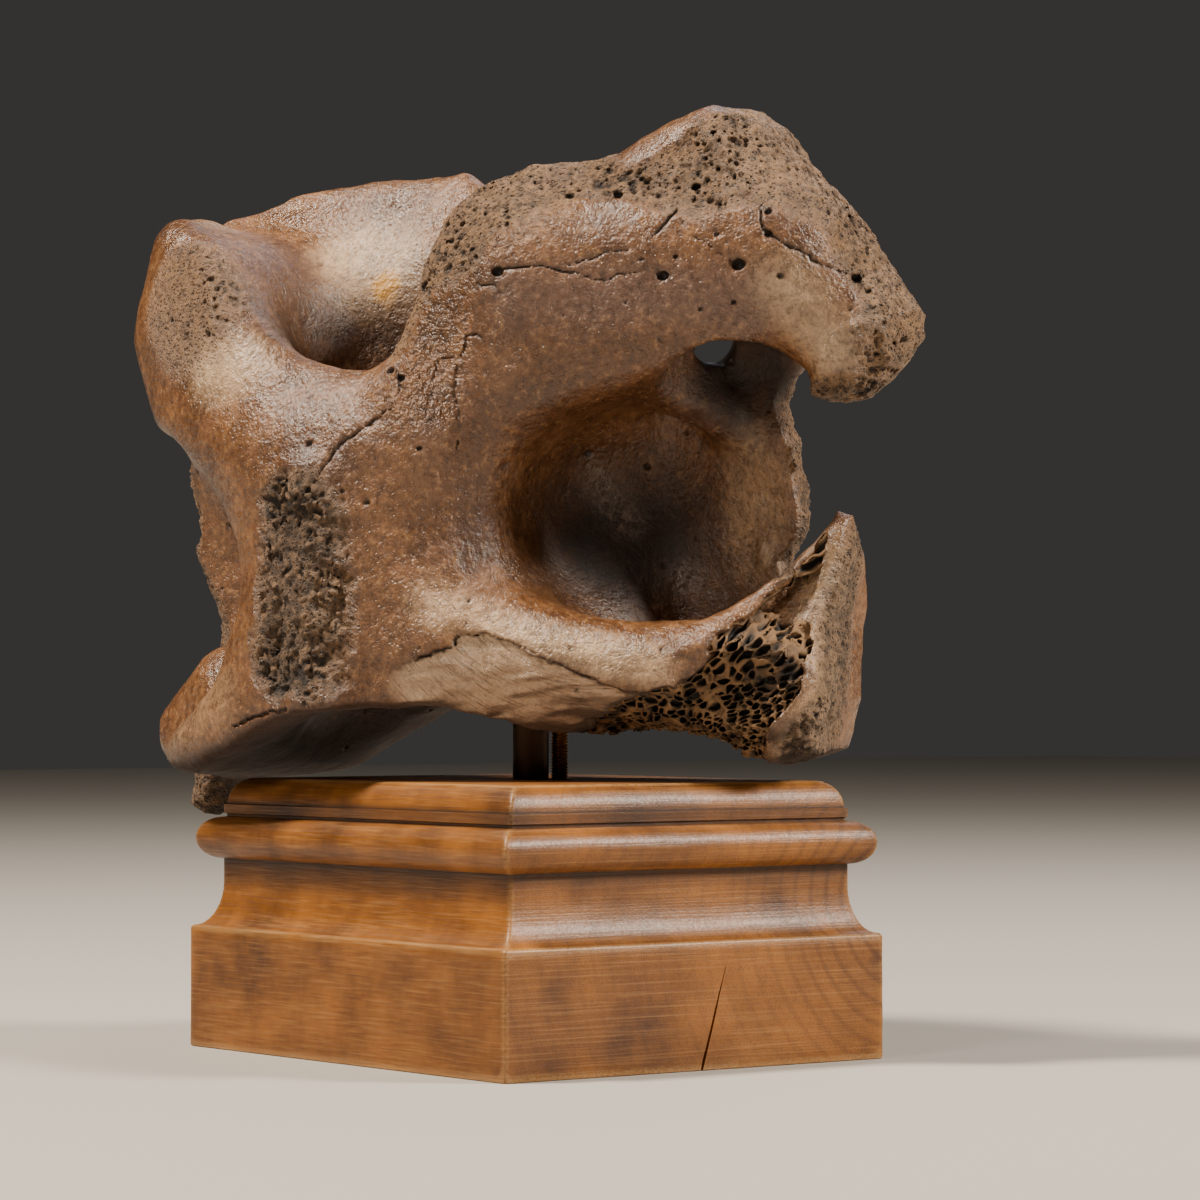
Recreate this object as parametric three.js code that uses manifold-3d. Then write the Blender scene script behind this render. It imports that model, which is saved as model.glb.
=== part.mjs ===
import * as THREE from 'three';
import { mergeVertices } from 'three/addons/utils/BufferGeometryUtils.js';
import Module from 'manifold-3d';

// A fossil neck vertebra (the atlas) of a steppe bison, standing on a moulded wooden plinth.
// Millimetres, +Z up. The origin is the middle of the plinth's underside.

// Plinth: one block of wood, its long side along the grain.
const PLINTH_WIDTH = 105;
const PLINTH_LENGTH = 124;
const EDGE = 0.6;
const BLOCK_TOP = 27.9;
const COVE_TOP = 38.7;
const NECK_INSET = 5.5;
const TORUS_BOTTOM = 43.4;
const TORUS_REACH = 4.7;
const FILLET_BOTTOM = 53;
const FILLET_TOP = 56.1;
const PLINTH_TOP = 62;
const TOP_INSET = 11;

// Two uprights, the smooth post in the middle and the threaded rod close beside it.
const POST_RADIUS = 4.1;
const ROD_RADIUS = 2;
const ROD_AT = [7, -1.6];
const UPRIGHT_DEPTH = 14;
const UPRIGHT_TOP = 87;
const GAP = 0.3;

// The bone's own frame has x toward the whole wing, y toward the back of the neck and z toward
// the head. Its middle stands at BONE_AT, turned by BONE_TURN and leaning by BONE_LEAN.
const BONE_MIDDLE = new THREE.Vector3(0, 0, 140);
const BONE_AT = new THREE.Vector3(-16.5, 31.4, 140);
const BONE_TURN = -61.3;
const BONE_LEAN = 4.5;
const LEAN_HEADING = -37.3;
const CELL = 5.4;
const GRID_LOW = [-82, -60, 46];
const GRID_HIGH = [140, 58, 218];

const rad = THREE.MathUtils.degToRad;

// Distance fields: each gives how far a point lies outside a form, and less than 0 inside it.
// The joins, cuts and overlaps are rounded over a width k.

function join(a, b, k) {
  const h = Math.max(k - Math.abs(a - b), 0) / k;
  return Math.min(a, b) - h * h * k / 4;
}

function cut(a, b, k) {
  return -join(-a, b, k);
}

function overlap(a, b, k) {
  return -join(-a, -b, k);
}

function egg(p, c, r) {
  const [x, y, z] = [p[0] - c[0], p[1] - c[1], p[2] - c[2]];
  const near = Math.hypot(x / r[0], y / r[1], z / r[2]);
  const slope = Math.hypot(x / r[0] ** 2, y / r[1] ** 2, z / r[2] ** 2);
  return near * (near - 1) / Math.max(slope, 1e-6);
}

function rod(p, a, b, ra, rb) {
  const d = [b[0] - a[0], b[1] - a[1], b[2] - a[2]];
  const along = (p[0] - a[0]) * d[0] + (p[1] - a[1]) * d[1] + (p[2] - a[2]) * d[2];
  const t = THREE.MathUtils.clamp(along / (d[0] ** 2 + d[1] ** 2 + d[2] ** 2), 0, 1);
  const off = Math.hypot(p[0] - a[0] - t * d[0], p[1] - a[1] - t * d[1], p[2] - a[2] - t * d[2]);
  return off - (ra + (rb - ra) * t);
}

// A closed outline in x and z.
function outline(x, z, points) {
  let nearest = Infinity;
  let inside = false;
  points.forEach(([ax, az], i) => {
    const [bx, bz] = points[(i + 1) % points.length];
    const [ex, ez] = [bx - ax, bz - az];
    const t = THREE.MathUtils.clamp(((x - ax) * ex + (z - az) * ez) / (ex * ex + ez * ez), 0, 1);
    nearest = Math.min(nearest, Math.hypot(x - ax - ex * t, z - az - ez * t));
    if ((az > z) !== (bz > z) && x < ex * (z - az) / ez + ax) inside = !inside;
  });
  return inside ? -nearest : nearest;
}

// A plate with that outline, its middle at y = middle.
function plate(p, points, middle, half, k) {
  return overlap(outline(p[0], p[2], points), Math.abs(p[1] - middle) - half, k);
}

// A value that eases from one knot to the next.
function ease(t, knots) {
  let value = knots[0][1];
  for (let i = 1; i < knots.length; i++) {
    const [from, to] = [knots[i - 1], knots[i]];
    value += (to[1] - from[1]) * THREE.MathUtils.smoothstep(t, from[0], to[0]);
  }
  return value;
}

// A value read off a chain of knots, with its corners rounded over a width.
function chain(t, knots, width) {
  const read = (s) => {
    const next = knots.findIndex((knot) => knot[0] > s);
    if (next < 0) return knots[knots.length - 1][1];
    if (next === 0) return knots[0][1];
    const [from, to] = [knots[next - 1], knots[next]];
    return from[1] + (to[1] - from[1]) * (s - from[0]) / (to[0] - from[0]);
  };
  return (read(t - width) + read(t) + read(t + width)) / 3;
}

// Rises from 0 at a to 1 at b, slowly at first.
function swell(t, a, b, power) {
  return THREE.MathUtils.clamp((t - a) / (b - a), 0, 1) ** power;
}

// Radius of a squarish ellipse in the direction of a point.
function ovalRadius(x, y, a, b, power) {
  const off = Math.max(Math.hypot(x, y), 1e-6);
  return 1 / ((Math.abs(x) / off / a) ** power + (Math.abs(y) / off / b) ** power) ** (1 / power);
}

// The ring of the atlas, still without its canal.
function ringBody([x, y, z]) {
  const off = Math.hypot(x, y);
  const width = ease(z, [
    [60, 58], [73, 62], [92, 54], [115, 46], [150, 58], [168, 62], [190, 56], [205, 52],
  ]);
  const belly = ease(z, [[60, 38], [82, 44], [105, 46], [132, 45], [165, 38], [195, 36]]);
  const back = ease(z, [[60, 45], [90, 46], [150, 45], [205, 46]]);
  const outer = off - ovalRadius(x, y, width, y < 0 ? belly : back, 2.15);

  // The head rocked in the valley between the two cups, which the arch of the back closes off.
  const valley = chain(x, [
    [-62, 200], [-50, 199.5], [-38, 192.5], [-30, 188.5], [-24, 180], [-19, 172], [-12, 164],
    [-4, 158.5], [6, 155.5], [14, 156.5], [19, 161], [24, 172], [29, 184], [33, 189.5],
    [42, 192.5], [60, 200],
  ], 3);
  const front = overlap(outer, (z - valley) * 0.62, 12);
  const innerWidth = 20 + 36 * swell(z, 165, 195, 2.4);
  const innerDepth = 19 + 20 * swell(z, 160, 205, 1.6);
  const inner = ovalRadius(x, y, innerWidth, innerDepth, 2.1);
  const crest = ease(x, [
    [-60, 197.5], [-54, 199], [-38, 204], [-8, 206], [3, 206], [16, 197], [40, 195],
  ]);
  const arch = overlap(overlap(outer, Math.max(inner - off, -y - 2), 5), z - crest, 6);
  return join(front, arch, 5);
}

// The lower edge, higher in the middle, toward the viewer and toward the back of the neck.
function lowerEdge([x, y, z]) {
  const nearEdge = chain(x, [
    [-58, 68], [-44, 66], [-30, 71], [-19, 75.5], [-8, 78], [9, 79], [25, 77], [33, 74.5],
    [45, 71.5], [62, 69], [80, 66], [92, 57], [120, 50],
  ], 2);
  const farEdge = chain(x, [
    [-58, 63], [-36, 64], [-10, 77], [10, 79], [34, 76], [70, 74], [84, 64], [120, 50],
  ], 3);
  const across = THREE.MathUtils.clamp((y + 20) / 40, 0, 1);
  return (nearEdge + (farEdge - nearEdge) * across - z) * 0.85;
}

// The whole wing: a thick corner toward the head, a thin plate with its edge bitten away, and
// the upstanding end of its wall. The other wing is broken off near its root.
const WING_CORNER = [
  [30, 154], [64, 156], [76, 157.5], [91, 156.5], [100, 150.5], [109, 141], [117, 138],
  [125, 142], [130, 150], [130, 157], [126, 166], [115, 182], [106, 194], [99, 203], [91, 206],
  [78, 205], [66, 203], [57, 198], [48, 192], [30, 184],
];
const WING_PLATE = [
  [34, 168], [97, 160], [97.5, 148], [92.5, 140], [94.5, 131], [96, 115], [95, 109], [90, 104],
  [93, 84], [84, 64], [34, 66],
];
const WING_WALL = [
  [84, 60], [94, 58.5], [101, 61], [105, 72], [107, 88], [112, 104], [112.5, 113], [108, 115],
  [103, 106], [97, 97], [86, 92],
];
const WING_STUMP = [
  [-34, 165], [-58, 160], [-63, 148], [-64, 139], [-62, 128], [-64, 117], [-60, 110], [-55, 95],
  [-60, 70], [-34, 70],
];

// The whole wing with the brow over its hollow and the shelf below it.
function wholeWing(p) {
  const [x, , z] = p;
  const plateMiddle = ease(x, [[30, 18], [70, 19], [100, 15], [125, 10]]);
  const cornerMiddle = ease(x, [[34, 4], [80, 1], [124, 3]]);
  const cornerHalf = ease(x, [[34, 20], [70, 19], [100, 18], [124, 14]]);
  const wallMiddle = ease(z, [[64, 2], [92, 4], [115, -1]]);
  const wallHalf = ease(z, [[60, 17], [88, 15], [116, 3]]);
  let d = plate(p, WING_PLATE, plateMiddle, 4.2, 4);
  d = join(d, plate(p, WING_CORNER, cornerMiddle, cornerHalf, 15), 8);
  d = join(d, rod(p, [46, -16, 172], [98, -1, 172.5], 21, 16), 12);
  d = join(d, rod(p, [44, -16, 152], [80, -6, 155], 20, 16), 10);
  d = join(d, rod(p, [60, 16, 190], [92, 5, 195], 13, 11), 6);
  d = join(d, rod(p, [26, -27, 90], [92, -12, 78], 15, 14), 10);
  return join(d, plate(p, WING_WALL, wallMiddle, wallHalf, 5), 6);
}

// The vertebra: ring, wings and the rough ridge down its front, less its hollows and breaks.
function vertebra(p) {
  const even = [Math.abs(p[0]), p[1], p[2]];
  let d = join(ringBody(p), rod(even, [42, 16, 160], [46, 20, 80], 17, 14), 12);
  d = join(d, wholeWing(p), 7);
  d = join(d, rod(p, [-2, -41, 78], [0, -43, 126], 8, 5), 10);
  d = join(d, egg(p, [0, 44, 152], [13, 8, 26]), 8);

  // Hollows under the wings. On the whole side a deep bowl, and a chamber behind a low ridge.
  d = cut(d, egg(p, [88, -42, 118], [40, 34, 26]), 12);
  d = cut(d, egg(p, [-78, -50, 112], [53, 44, 36]), 18);
  d = cut(d, egg(p, [-64, -14, 112], [38, 33, 34]), 9);
  d = cut(d, egg(p, [65, -12, 117.5], [26, 25, 24]), 11);
  d = cut(d, egg(p, [86, -14, 120], [22, 24, 27]), 6);
  d = cut(d, egg(p, [86, -4, 146], [13, 17, 11]), 4);
  d = join(d, rod(p, [69, 2, 148], [79, 13, 136], 6, 3), 9);
  d = overlap(d, lowerEdge(p), 3);

  // The stump of the other wing, with a spongy splinter hanging from it.
  d = join(d, plate(p, WING_STUMP, 19, 4.5, 4), 5);
  d = join(d, rod(p, [-52, 20, 84], [-67, 22, 60], 11, 6), 6);

  // Hollows of the wing's back, and the hole through its root.
  d = cut(d, egg(p, [68, 44, 156], [20, 16, 18]), 8);
  d = cut(d, egg(even, [62, 56, 104], [20, 30, 34]), 10);
  d = cut(d, rod(p, [80, 4, 154], [62, 44, 160], 4.5, 6.5), 2);

  // The broken corner of the shelf, and the saddle beside the whole cup.
  d = cut(d, egg(p, [101, -44, 72], [33, 24, 30]), 2);
  d = cut(d, rod(p, [34, 0, 209], [76, 4, 211], 11, 8), 6);

  // The canal, wider at its tail end.
  d = cut(d, rod(p, [0, 0, 40], [0, 2, 164], 20, 20), 14);
  return cut(d, egg(p, [0, 6, 58], [30, 30, 26]), 6);
}

// Faceted skin of a distance field: one point in every cell that the surface crosses, and one
// quad round every grid edge that it cuts.
function skin(field, low, high, cell) {
  const size = low.map((v, i) => Math.ceil((high[i] - v) / cell) + 1);
  const step = [size[1] * size[2], size[2], 1];
  const at = (i) => [
    Math.floor(i / step[0]), Math.floor(i / step[1]) % size[1], i % size[2],
  ];
  const value = new Float64Array(size[0] * size[1] * size[2]);
  for (let i = 0; i < value.length; i++) {
    value[i] = field(at(i).map((n, a) => low[a] + n * cell));
  }
  const inner = (i) => at(i).every((n, a) => n > 0 && n < size[a] - 1);
  const cellOk = (i) => at(i).every((n, a) => n < size[a] - 1);
  const corners = [];
  for (let c = 0; c < 8; c++) {
    corners.push((c & 1) * step[0] + ((c >> 1) & 1) * step[1] + (c >> 2) * step[2]);
  }

  // Corners on each side of the surface have to hang together within a cell, or the skin would
  // pinch. Where they don't, the corner nearest the surface changes sides.
  const clumps = (signs, wanted) => {
    let left = signs.map((s, c) => (s === wanted ? 1 << c : 0)).reduce((a, b) => a | b, 0);
    let count = 0;
    while (left) {
      let reach = left & -left;
      for (let pass = 0; pass < 8; pass++) {
        for (let c = 0; c < 8; c++) {
          if (!(reach & (1 << c))) continue;
          for (const bit of [1, 2, 4]) reach |= left & (1 << (c ^ bit));
        }
      }
      left &= ~reach;
      count++;
    }
    return count;
  };
  for (let changed = true; changed;) {
    changed = false;
    for (let i = 0; i < value.length; i++) {
      if (!cellOk(i)) continue;
      const signs = corners.map((c) => value[i + c] < 0);
      if (signs.every((s) => s === signs[0])) continue;
      if (clumps(signs, true) < 2 && clumps(signs, false) < 2) continue;
      const weakest = corners.reduce((a, b) => (
        Math.abs(value[i + a]) < Math.abs(value[i + b]) ? a : b));
      value[i + weakest] = value[i + weakest] < 0 ? 0.4 : -0.4;
      changed = true;
    }
  }

  const points = [];
  const pointOf = new Map();
  for (let i = 0; i < value.length; i++) {
    if (!cellOk(i)) continue;
    const sum = [0, 0, 0];
    let crossings = 0;
    corners.forEach((from, c) => {
      [1, 2, 4].forEach((bit, axis) => {
        if (c & bit) return;
        const [a, b] = [value[i + from], value[i + from + step[axis]]];
        if ((a < 0) === (b < 0)) return;
        const start = at(i + from);
        start.forEach((n, k) => { sum[k] += n + (k === axis ? a / (a - b) : 0); });
        crossings++;
      });
    });
    if (!crossings) continue;
    pointOf.set(i, points.length / 3);
    sum.forEach((s, k) => points.push(low[k] + s / crossings * cell));
  }

  const faces = [];
  const length2 = (a, b) => [0, 1, 2].reduce((s, k) => (
    s + (points[3 * a + k] - points[3 * b + k]) ** 2), 0);
  for (let i = 0; i < value.length; i++) {
    if (!inner(i)) continue;
    for (let axis = 0; axis < 3; axis++) {
      const [a, b] = [value[i] < 0, value[i + step[axis]] < 0];
      if (a === b) continue;
      const [u, v] = [step[(axis + 1) % 3], step[(axis + 2) % 3]];
      const quad = [i - u - v, i - v, i, i - u].map((n) => pointOf.get(n));
      if (b) quad.reverse();
      const turn = length2(quad[0], quad[2]) < length2(quad[1], quad[3]) ? 0 : 1;
      const [q0, q1, q2, q3] = [0, 1, 2, 3].map((n) => quad[(n + turn) % 4]);
      faces.push(q0, q1, q2, q0, q2, q3);
    }
  }
  return meshFrom(points, faces);
}

function meshFrom(points, faces) {
  const geometry = new THREE.BufferGeometry();
  geometry.setAttribute('position', new THREE.Float32BufferAttribute(points, 3));
  geometry.setIndex(faces);
  return geometry;
}

// Side of the plinth from its underside up, as how far it stands in from the block and its
// height: block, cove, neck, torus, a flat fillet and the rounded edge of the top.
function plinthProfile() {
  const points = [[EDGE, 0], [0, EDGE], [0, BLOCK_TOP - EDGE], [EDGE, BLOCK_TOP]];
  const steps = 8;
  const arc = (i) => (i / steps) * Math.PI / 2;
  const coveBottom = BLOCK_TOP + EDGE;
  for (let i = 0; i <= steps; i++) {
    const inset = EDGE + (NECK_INSET - EDGE) * Math.sin(arc(i));
    points.push([inset, coveBottom + (COVE_TOP - coveBottom) * (1 - Math.cos(arc(i)))]);
  }
  const torusMiddle = (TORUS_BOTTOM + FILLET_BOTTOM) / 2;
  const torusHalf = (FILLET_BOTTOM - TORUS_BOTTOM) / 2;
  for (let i = -steps; i <= steps; i++) {
    const inset = NECK_INSET - TORUS_REACH * Math.cos(arc(i));
    points.push([inset, torusMiddle + torusHalf * Math.sin(arc(i))]);
  }
  points.push([NECK_INSET, FILLET_TOP]);
  const shoulder = NECK_INSET + EDGE;
  for (let i = 0; i <= steps; i++) {
    const inset = shoulder + (TOP_INSET - shoulder) * (1 - Math.cos(arc(i)));
    points.push([inset, FILLET_TOP + (PLINTH_TOP - FILLET_TOP) * Math.sin(arc(i))]);
  }
  return points;
}

function plinthBlock() {
  const profile = plinthProfile();
  const points = [];
  const faces = [];
  for (const [inset, height] of profile) {
    const [x, y] = [PLINTH_WIDTH / 2 - inset, PLINTH_LENGTH / 2 - inset];
    points.push(-x, -y, height, x, -y, height, x, y, height, -x, y, height);
  }
  for (let i = 0; i + 1 < profile.length; i++) {
    for (let c = 0; c < 4; c++) {
      const [a, b] = [4 * i + c, 4 * i + (c + 1) % 4];
      faces.push(a, b, b + 4, a, b + 4, a + 4);
    }
  }
  const top = 4 * (profile.length - 1);
  faces.push(0, 2, 1, 0, 3, 2, top, top + 1, top + 2, top, top + 2, top + 3);
  return meshFrom(points, faces);
}

function upright(radius, bottom, top, sides, [x, y]) {
  const geometry = new THREE.CylinderGeometry(radius, radius, top - bottom, sides);
  geometry.rotateX(Math.PI / 2);
  geometry.translate(x, y, (top + bottom) / 2);
  return geometry;
}

const wasm = await Module();
wasm.setup();

function solid(geometry) {
  const bare = geometry.clone();
  bare.deleteAttribute('normal');
  bare.deleteAttribute('uv');
  const merged = mergeVertices(bare, 1e-4);
  return new wasm.Manifold(new wasm.Mesh({
    numProp: 3,
    vertProperties: new Float32Array(merged.attributes.position.array),
    triVerts: new Uint32Array(merged.index.array),
  }));
}

function less(geometry, holes) {
  const rest = holes.reduce((body, hole) => body.subtract(solid(hole)), solid(geometry));
  const mesh = rest.getMesh();
  return meshFrom(Array.from(mesh.vertProperties), Array.from(mesh.triVerts));
}

// Both uprights stand in blind holes in the wood and in the bone.
const UPRIGHT_BOTTOM = PLINTH_TOP - UPRIGHT_DEPTH;
const holes = [
  upright(POST_RADIUS + GAP, UPRIGHT_BOTTOM - GAP, UPRIGHT_TOP + GAP, 32, [0, 0]),
  upright(ROD_RADIUS + GAP, UPRIGHT_BOTTOM - GAP, UPRIGHT_TOP + GAP, 24, ROD_AT),
];

function boneGeometry() {
  const geometry = skin(vertebra, GRID_LOW, GRID_HIGH, CELL);
  const heading = rad(LEAN_HEADING);
  const viewer = new THREE.Vector3(Math.sin(heading), -Math.cos(heading), 0);
  const lean = new THREE.Quaternion().setFromAxisAngle(viewer, rad(BONE_LEAN));
  const turn = new THREE.Quaternion().setFromAxisAngle(new THREE.Vector3(0, 0, 1), rad(BONE_TURN));
  geometry.translate(-BONE_MIDDLE.x, -BONE_MIDDLE.y, -BONE_MIDDLE.z);
  geometry.applyQuaternion(lean.multiply(turn));
  geometry.translate(BONE_AT.x, BONE_AT.y, BONE_AT.z);
  return less(geometry, holes);
}

function piece(name, geometry, color, roughness, metalness) {
  const material = new THREE.MeshStandardMaterial({ color, roughness, metalness });
  const mesh = new THREE.Mesh(geometry, material);
  mesh.name = name;
  return mesh;
}

const part = new THREE.Group();
const post = upright(POST_RADIUS, UPRIGHT_BOTTOM, UPRIGHT_TOP, 32, [0, 0]);
const thread = upright(ROD_RADIUS, UPRIGHT_BOTTOM, UPRIGHT_TOP, 24, ROD_AT);
part.add(piece('plinth', less(plinthBlock(), holes), '#9a652f', 0.5, 0));
part.add(piece('support_post', post, '#3b2a20', 0.35, 0.9));
part.add(piece('threaded_rod', thread, '#a8833d', 0.35, 1));
part.add(piece('vertebra', boneGeometry(), '#8c6a45', 0.55, 0));

export default part;
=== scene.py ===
import math
from concurrent.futures import ThreadPoolExecutor

import bpy
import numpy as np
from mathutils import Matrix, Vector


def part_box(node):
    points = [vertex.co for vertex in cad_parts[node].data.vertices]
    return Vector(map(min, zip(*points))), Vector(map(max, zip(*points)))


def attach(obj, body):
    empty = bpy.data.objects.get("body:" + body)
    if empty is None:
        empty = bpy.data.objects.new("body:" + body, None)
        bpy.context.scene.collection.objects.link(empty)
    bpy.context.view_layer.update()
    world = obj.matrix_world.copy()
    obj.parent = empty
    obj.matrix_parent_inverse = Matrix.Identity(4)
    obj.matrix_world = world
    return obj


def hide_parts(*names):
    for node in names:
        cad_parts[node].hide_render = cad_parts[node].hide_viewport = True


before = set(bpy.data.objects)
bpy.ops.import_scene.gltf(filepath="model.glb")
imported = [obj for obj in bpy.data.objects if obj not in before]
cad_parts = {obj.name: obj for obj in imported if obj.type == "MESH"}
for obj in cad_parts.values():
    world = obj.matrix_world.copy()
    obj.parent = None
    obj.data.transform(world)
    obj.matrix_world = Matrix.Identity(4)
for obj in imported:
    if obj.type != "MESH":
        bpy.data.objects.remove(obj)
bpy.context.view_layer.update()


# Stage
# A pale floor under the object, four soft lights and the camera. None of it is part of the
# object.
MM = 0.001
AZIMUTH = math.radians(-37.30)
ELEVATION = math.radians(-1.12)
CAMERA_DISTANCE = 0.9976
AIM_RIGHT = 0.01576
AIM_HEIGHT = 0.10276
LENS = 131.4
SENSOR = 36.0
LIT_HEIGHT = 0.13

scene = bpy.context.scene
right = Vector((math.cos(AZIMUTH), math.sin(AZIMUTH), 0))
back = Vector((
    math.sin(AZIMUTH) * math.cos(ELEVATION),
    -math.cos(AZIMUTH) * math.cos(ELEVATION),
    math.sin(ELEVATION),
))
up = back.cross(right)
aim = right * AIM_RIGHT + Vector((0, 0, AIM_HEIGHT))


def looking(place, target):
    """Matrix of a lamp or camera at place that looks at target."""
    turn = (place - target).to_track_quat("Z", "Y")
    return Matrix.Translation(place) @ turn.to_matrix().to_4x4()


lens = bpy.data.cameras.new("camera")
lens.lens = LENS
lens.sensor_width = SENSOR
lens.clip_end = 30
camera = bpy.data.objects.new("camera", lens)
scene.collection.objects.link(camera)
place = aim + back * CAMERA_DISTANCE
axes = Matrix((right, up, back)).transposed()
camera.matrix_world = Matrix.Translation(place) @ axes.to_4x4()
scene.camera = camera


def srgb(hexcode):
    """Linear RGBA of an sRGB hex colour."""
    parts = [int(hexcode[i:i + 2], 16) / 255 for i in (1, 3, 5)]
    return [c / 12.92 if c <= 0.04045 else ((c + 0.055) / 1.055) ** 2.4 for c in parts] + [1.0]


def softbox(name, offset, size, power, colour):
    """A square lamp at an offset to the right, up and toward the camera from the bone's middle."""
    lamp = bpy.data.lights.new(name, "AREA")
    lamp.shape = "SQUARE"
    lamp.size = size
    lamp.energy = power
    lamp.color = srgb(colour)[:3]
    holder = bpy.data.objects.new(name, lamp)
    scene.collection.objects.link(holder)
    middle = Vector((0, 0, LIT_HEIGHT))
    spot = middle + right * offset[0] + Vector((0, 0, offset[1])) + back * offset[2]
    holder.matrix_world = looking(spot, middle)
    return holder


softbox("key", (-0.68, 1.20, 0.20), 0.22, 42, "#fff1e0")
softbox("front", (-0.60, 0.65, 0.85), 0.22, 4, "#fff1e0")
softbox("fill", (1.25, 0.76, 0.28), 0.3, 35, "#fff4e6")
softbox("rim", (0.3, 0.9, -0.9), 0.6, 3, "#eef3ff")


def add(tree, kind, inputs=None, **settings):
    """A node with its settings. An input is a value or another node's socket."""
    node = tree.nodes.new(kind)
    for name, value in settings.items():
        setattr(node, name, value)
    for name, value in (inputs or {}).items():
        socket = node.inputs[name]
        if isinstance(value, bpy.types.NodeSocket):
            tree.links.new(value, socket)
        else:
            socket.default_value = value
    return node


def new_material(name):
    """An empty node material and its tree."""
    material = bpy.data.materials.new(name)
    material.use_nodes = True
    material.node_tree.nodes.clear()
    return material, material.node_tree


world = bpy.data.worlds.new("studio")
world.use_nodes = True
sky = world.node_tree.nodes["Background"].inputs
sky["Color"].default_value = srgb("#e9e6e1")
sky["Strength"].default_value = 0.05
scene.world = world

floor_mesh = bpy.data.meshes.new("floor")
HALF = 3.0
floor_mesh.from_pydata(
    [(-HALF, -HALF, 0), (HALF, -HALF, 0), (HALF, HALF, 0), (-HALF, HALF, 0)], [], [(0, 1, 2, 3)])
floor = bpy.data.objects.new("floor", floor_mesh)
scene.collection.objects.link(floor)
paper, tree = new_material("pale_paper")
shader = add(tree, "ShaderNodeBsdfPrincipled", {"Base Color": srgb("#b0aba3"), "Roughness": 0.9})
add(tree, "ShaderNodeOutputMaterial", {"Surface": shader.outputs[0]})
floor_mesh.materials.append(paper)


# Plinth
# One block of stained and waxed hardwood. Its mouldings were cut along all four sides, and the
# grain runs along its two longer ones. A drying check has opened in one end.
PLINTH_WIDTH = 105
PLINTH_LENGTH = 124
EDGE = 0.6
BLOCK_TOP = 27.9
COVE_TOP = 38.7
NECK_INSET = 5.5
TORUS_BOTTOM = 43.4
TORUS_REACH = 4.7
FILLET_BOTTOM = 53
FILLET_TOP = 56.1
PLINTH_TOP = 62
TOP_INSET = 11
CORNER_RADIUS = 0.7
SIDE_STEPS = 56
ARC_STEPS = 14
LATTICE_SIDE = 64
LATTICE = np.random.default_rng(11).random(LATTICE_SIDE ** 3, dtype=np.float32)


def cloud(p, size, salt=0):
    """Soft noise from -1 to 1, with lumps of a given size or of one size for each axis."""
    cells, parts = [], []
    for axis, width in enumerate(np.broadcast_to(size, 3)):
        q = p[axis] / width + 17.3 * (axis + 1) + 9.1 * salt
        low = np.floor(q)
        t = (q - low).astype(np.float32)
        cells.append(low.astype(np.int32))
        parts.append(t * t * (3 - 2 * t))
    total = 0
    for corner in range(8):
        weight, index = 1, 0
        for axis in range(3):
            bit = corner >> axis & 1
            weight = weight * (parts[axis] if bit else 1 - parts[axis])
            index = index * LATTICE_SIDE + (cells[axis] + bit & LATTICE_SIDE - 1)
        total = total + weight * LATTICE[index]
    return 2 * total - 1


def plinth_profile():
    """Side of the plinth from its underside up, as how far it stands in and its height."""
    arc = np.linspace(0, math.pi / 2, ARC_STEPS + 1)
    flat = [(0, z) for z in np.linspace(EDGE, BLOCK_TOP - EDGE, 14)]
    points = [(EDGE, 0), (EDGE * 0.3, EDGE * 0.3)] + flat + [(EDGE * 0.3, BLOCK_TOP - EDGE * 0.3)]
    cove_bottom = BLOCK_TOP + EDGE * 0.2
    for a in arc:
        inset = EDGE + (NECK_INSET - EDGE) * math.sin(a)
        points.append((inset, cove_bottom + (COVE_TOP - cove_bottom) * (1 - math.cos(a))))
    middle = (TORUS_BOTTOM + FILLET_BOTTOM) / 2
    half = (FILLET_BOTTOM - TORUS_BOTTOM) / 2
    for a in np.linspace(-math.pi / 2, math.pi / 2, 2 * ARC_STEPS + 1):
        points.append((NECK_INSET - TORUS_REACH * math.cos(a), middle + half * math.sin(a)))
    points += [(NECK_INSET + 0.5, FILLET_BOTTOM + 0.1), (NECK_INSET + 0.5, FILLET_BOTTOM + 0.7)]
    points += [(NECK_INSET, FILLET_BOTTOM + 0.9), (NECK_INSET, FILLET_TOP - 0.2)]
    shoulder = NECK_INSET + EDGE
    for a in arc:
        inset = shoulder + (TOP_INSET - shoulder) * (1 - math.cos(a))
        points.append((inset, FILLET_TOP + (PLINTH_TOP - FILLET_TOP) * math.sin(a)))
    return points


def plinth_ring(inset, height):
    """One turn round the plinth, with its four corners a little rounded."""
    half = np.array([PLINTH_WIDTH, PLINTH_LENGTH]) / 2 - inset - CORNER_RADIUS
    corners = [(1, -1, (0, 1)), (1, 1, (-1, 0)), (-1, 1, (0, -1)), (-1, -1, (1, 0))]
    points = []
    for corner, (side_x, side_y, onward) in enumerate(corners):
        for a in np.linspace(corner - 1, corner, 5) * math.pi / 2:
            points.append((side_x * half[0] + CORNER_RADIUS * math.cos(a),
                           side_y * half[1] + CORNER_RADIUS * math.sin(a), height))
        start = np.array(points[-1])
        along = 2 * np.array([onward[0] * half[0], onward[1] * half[1], 0])
        points += [tuple(start + along * step / SIDE_STEPS) for step in range(1, SIDE_STEPS)]
    return points


def tube_faces(rows, columns):
    """Quads between closed rows of points, with a face over each end."""
    faces = []
    for row in range(rows - 1):
        for column in range(columns):
            a = row * columns + column
            b = row * columns + (column + 1) % columns
            faces.append((a, b, b + columns, a + columns))
    last = (rows - 1) * columns
    return faces + [tuple(reversed(range(columns))), tuple(range(last, last + columns))]


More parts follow.
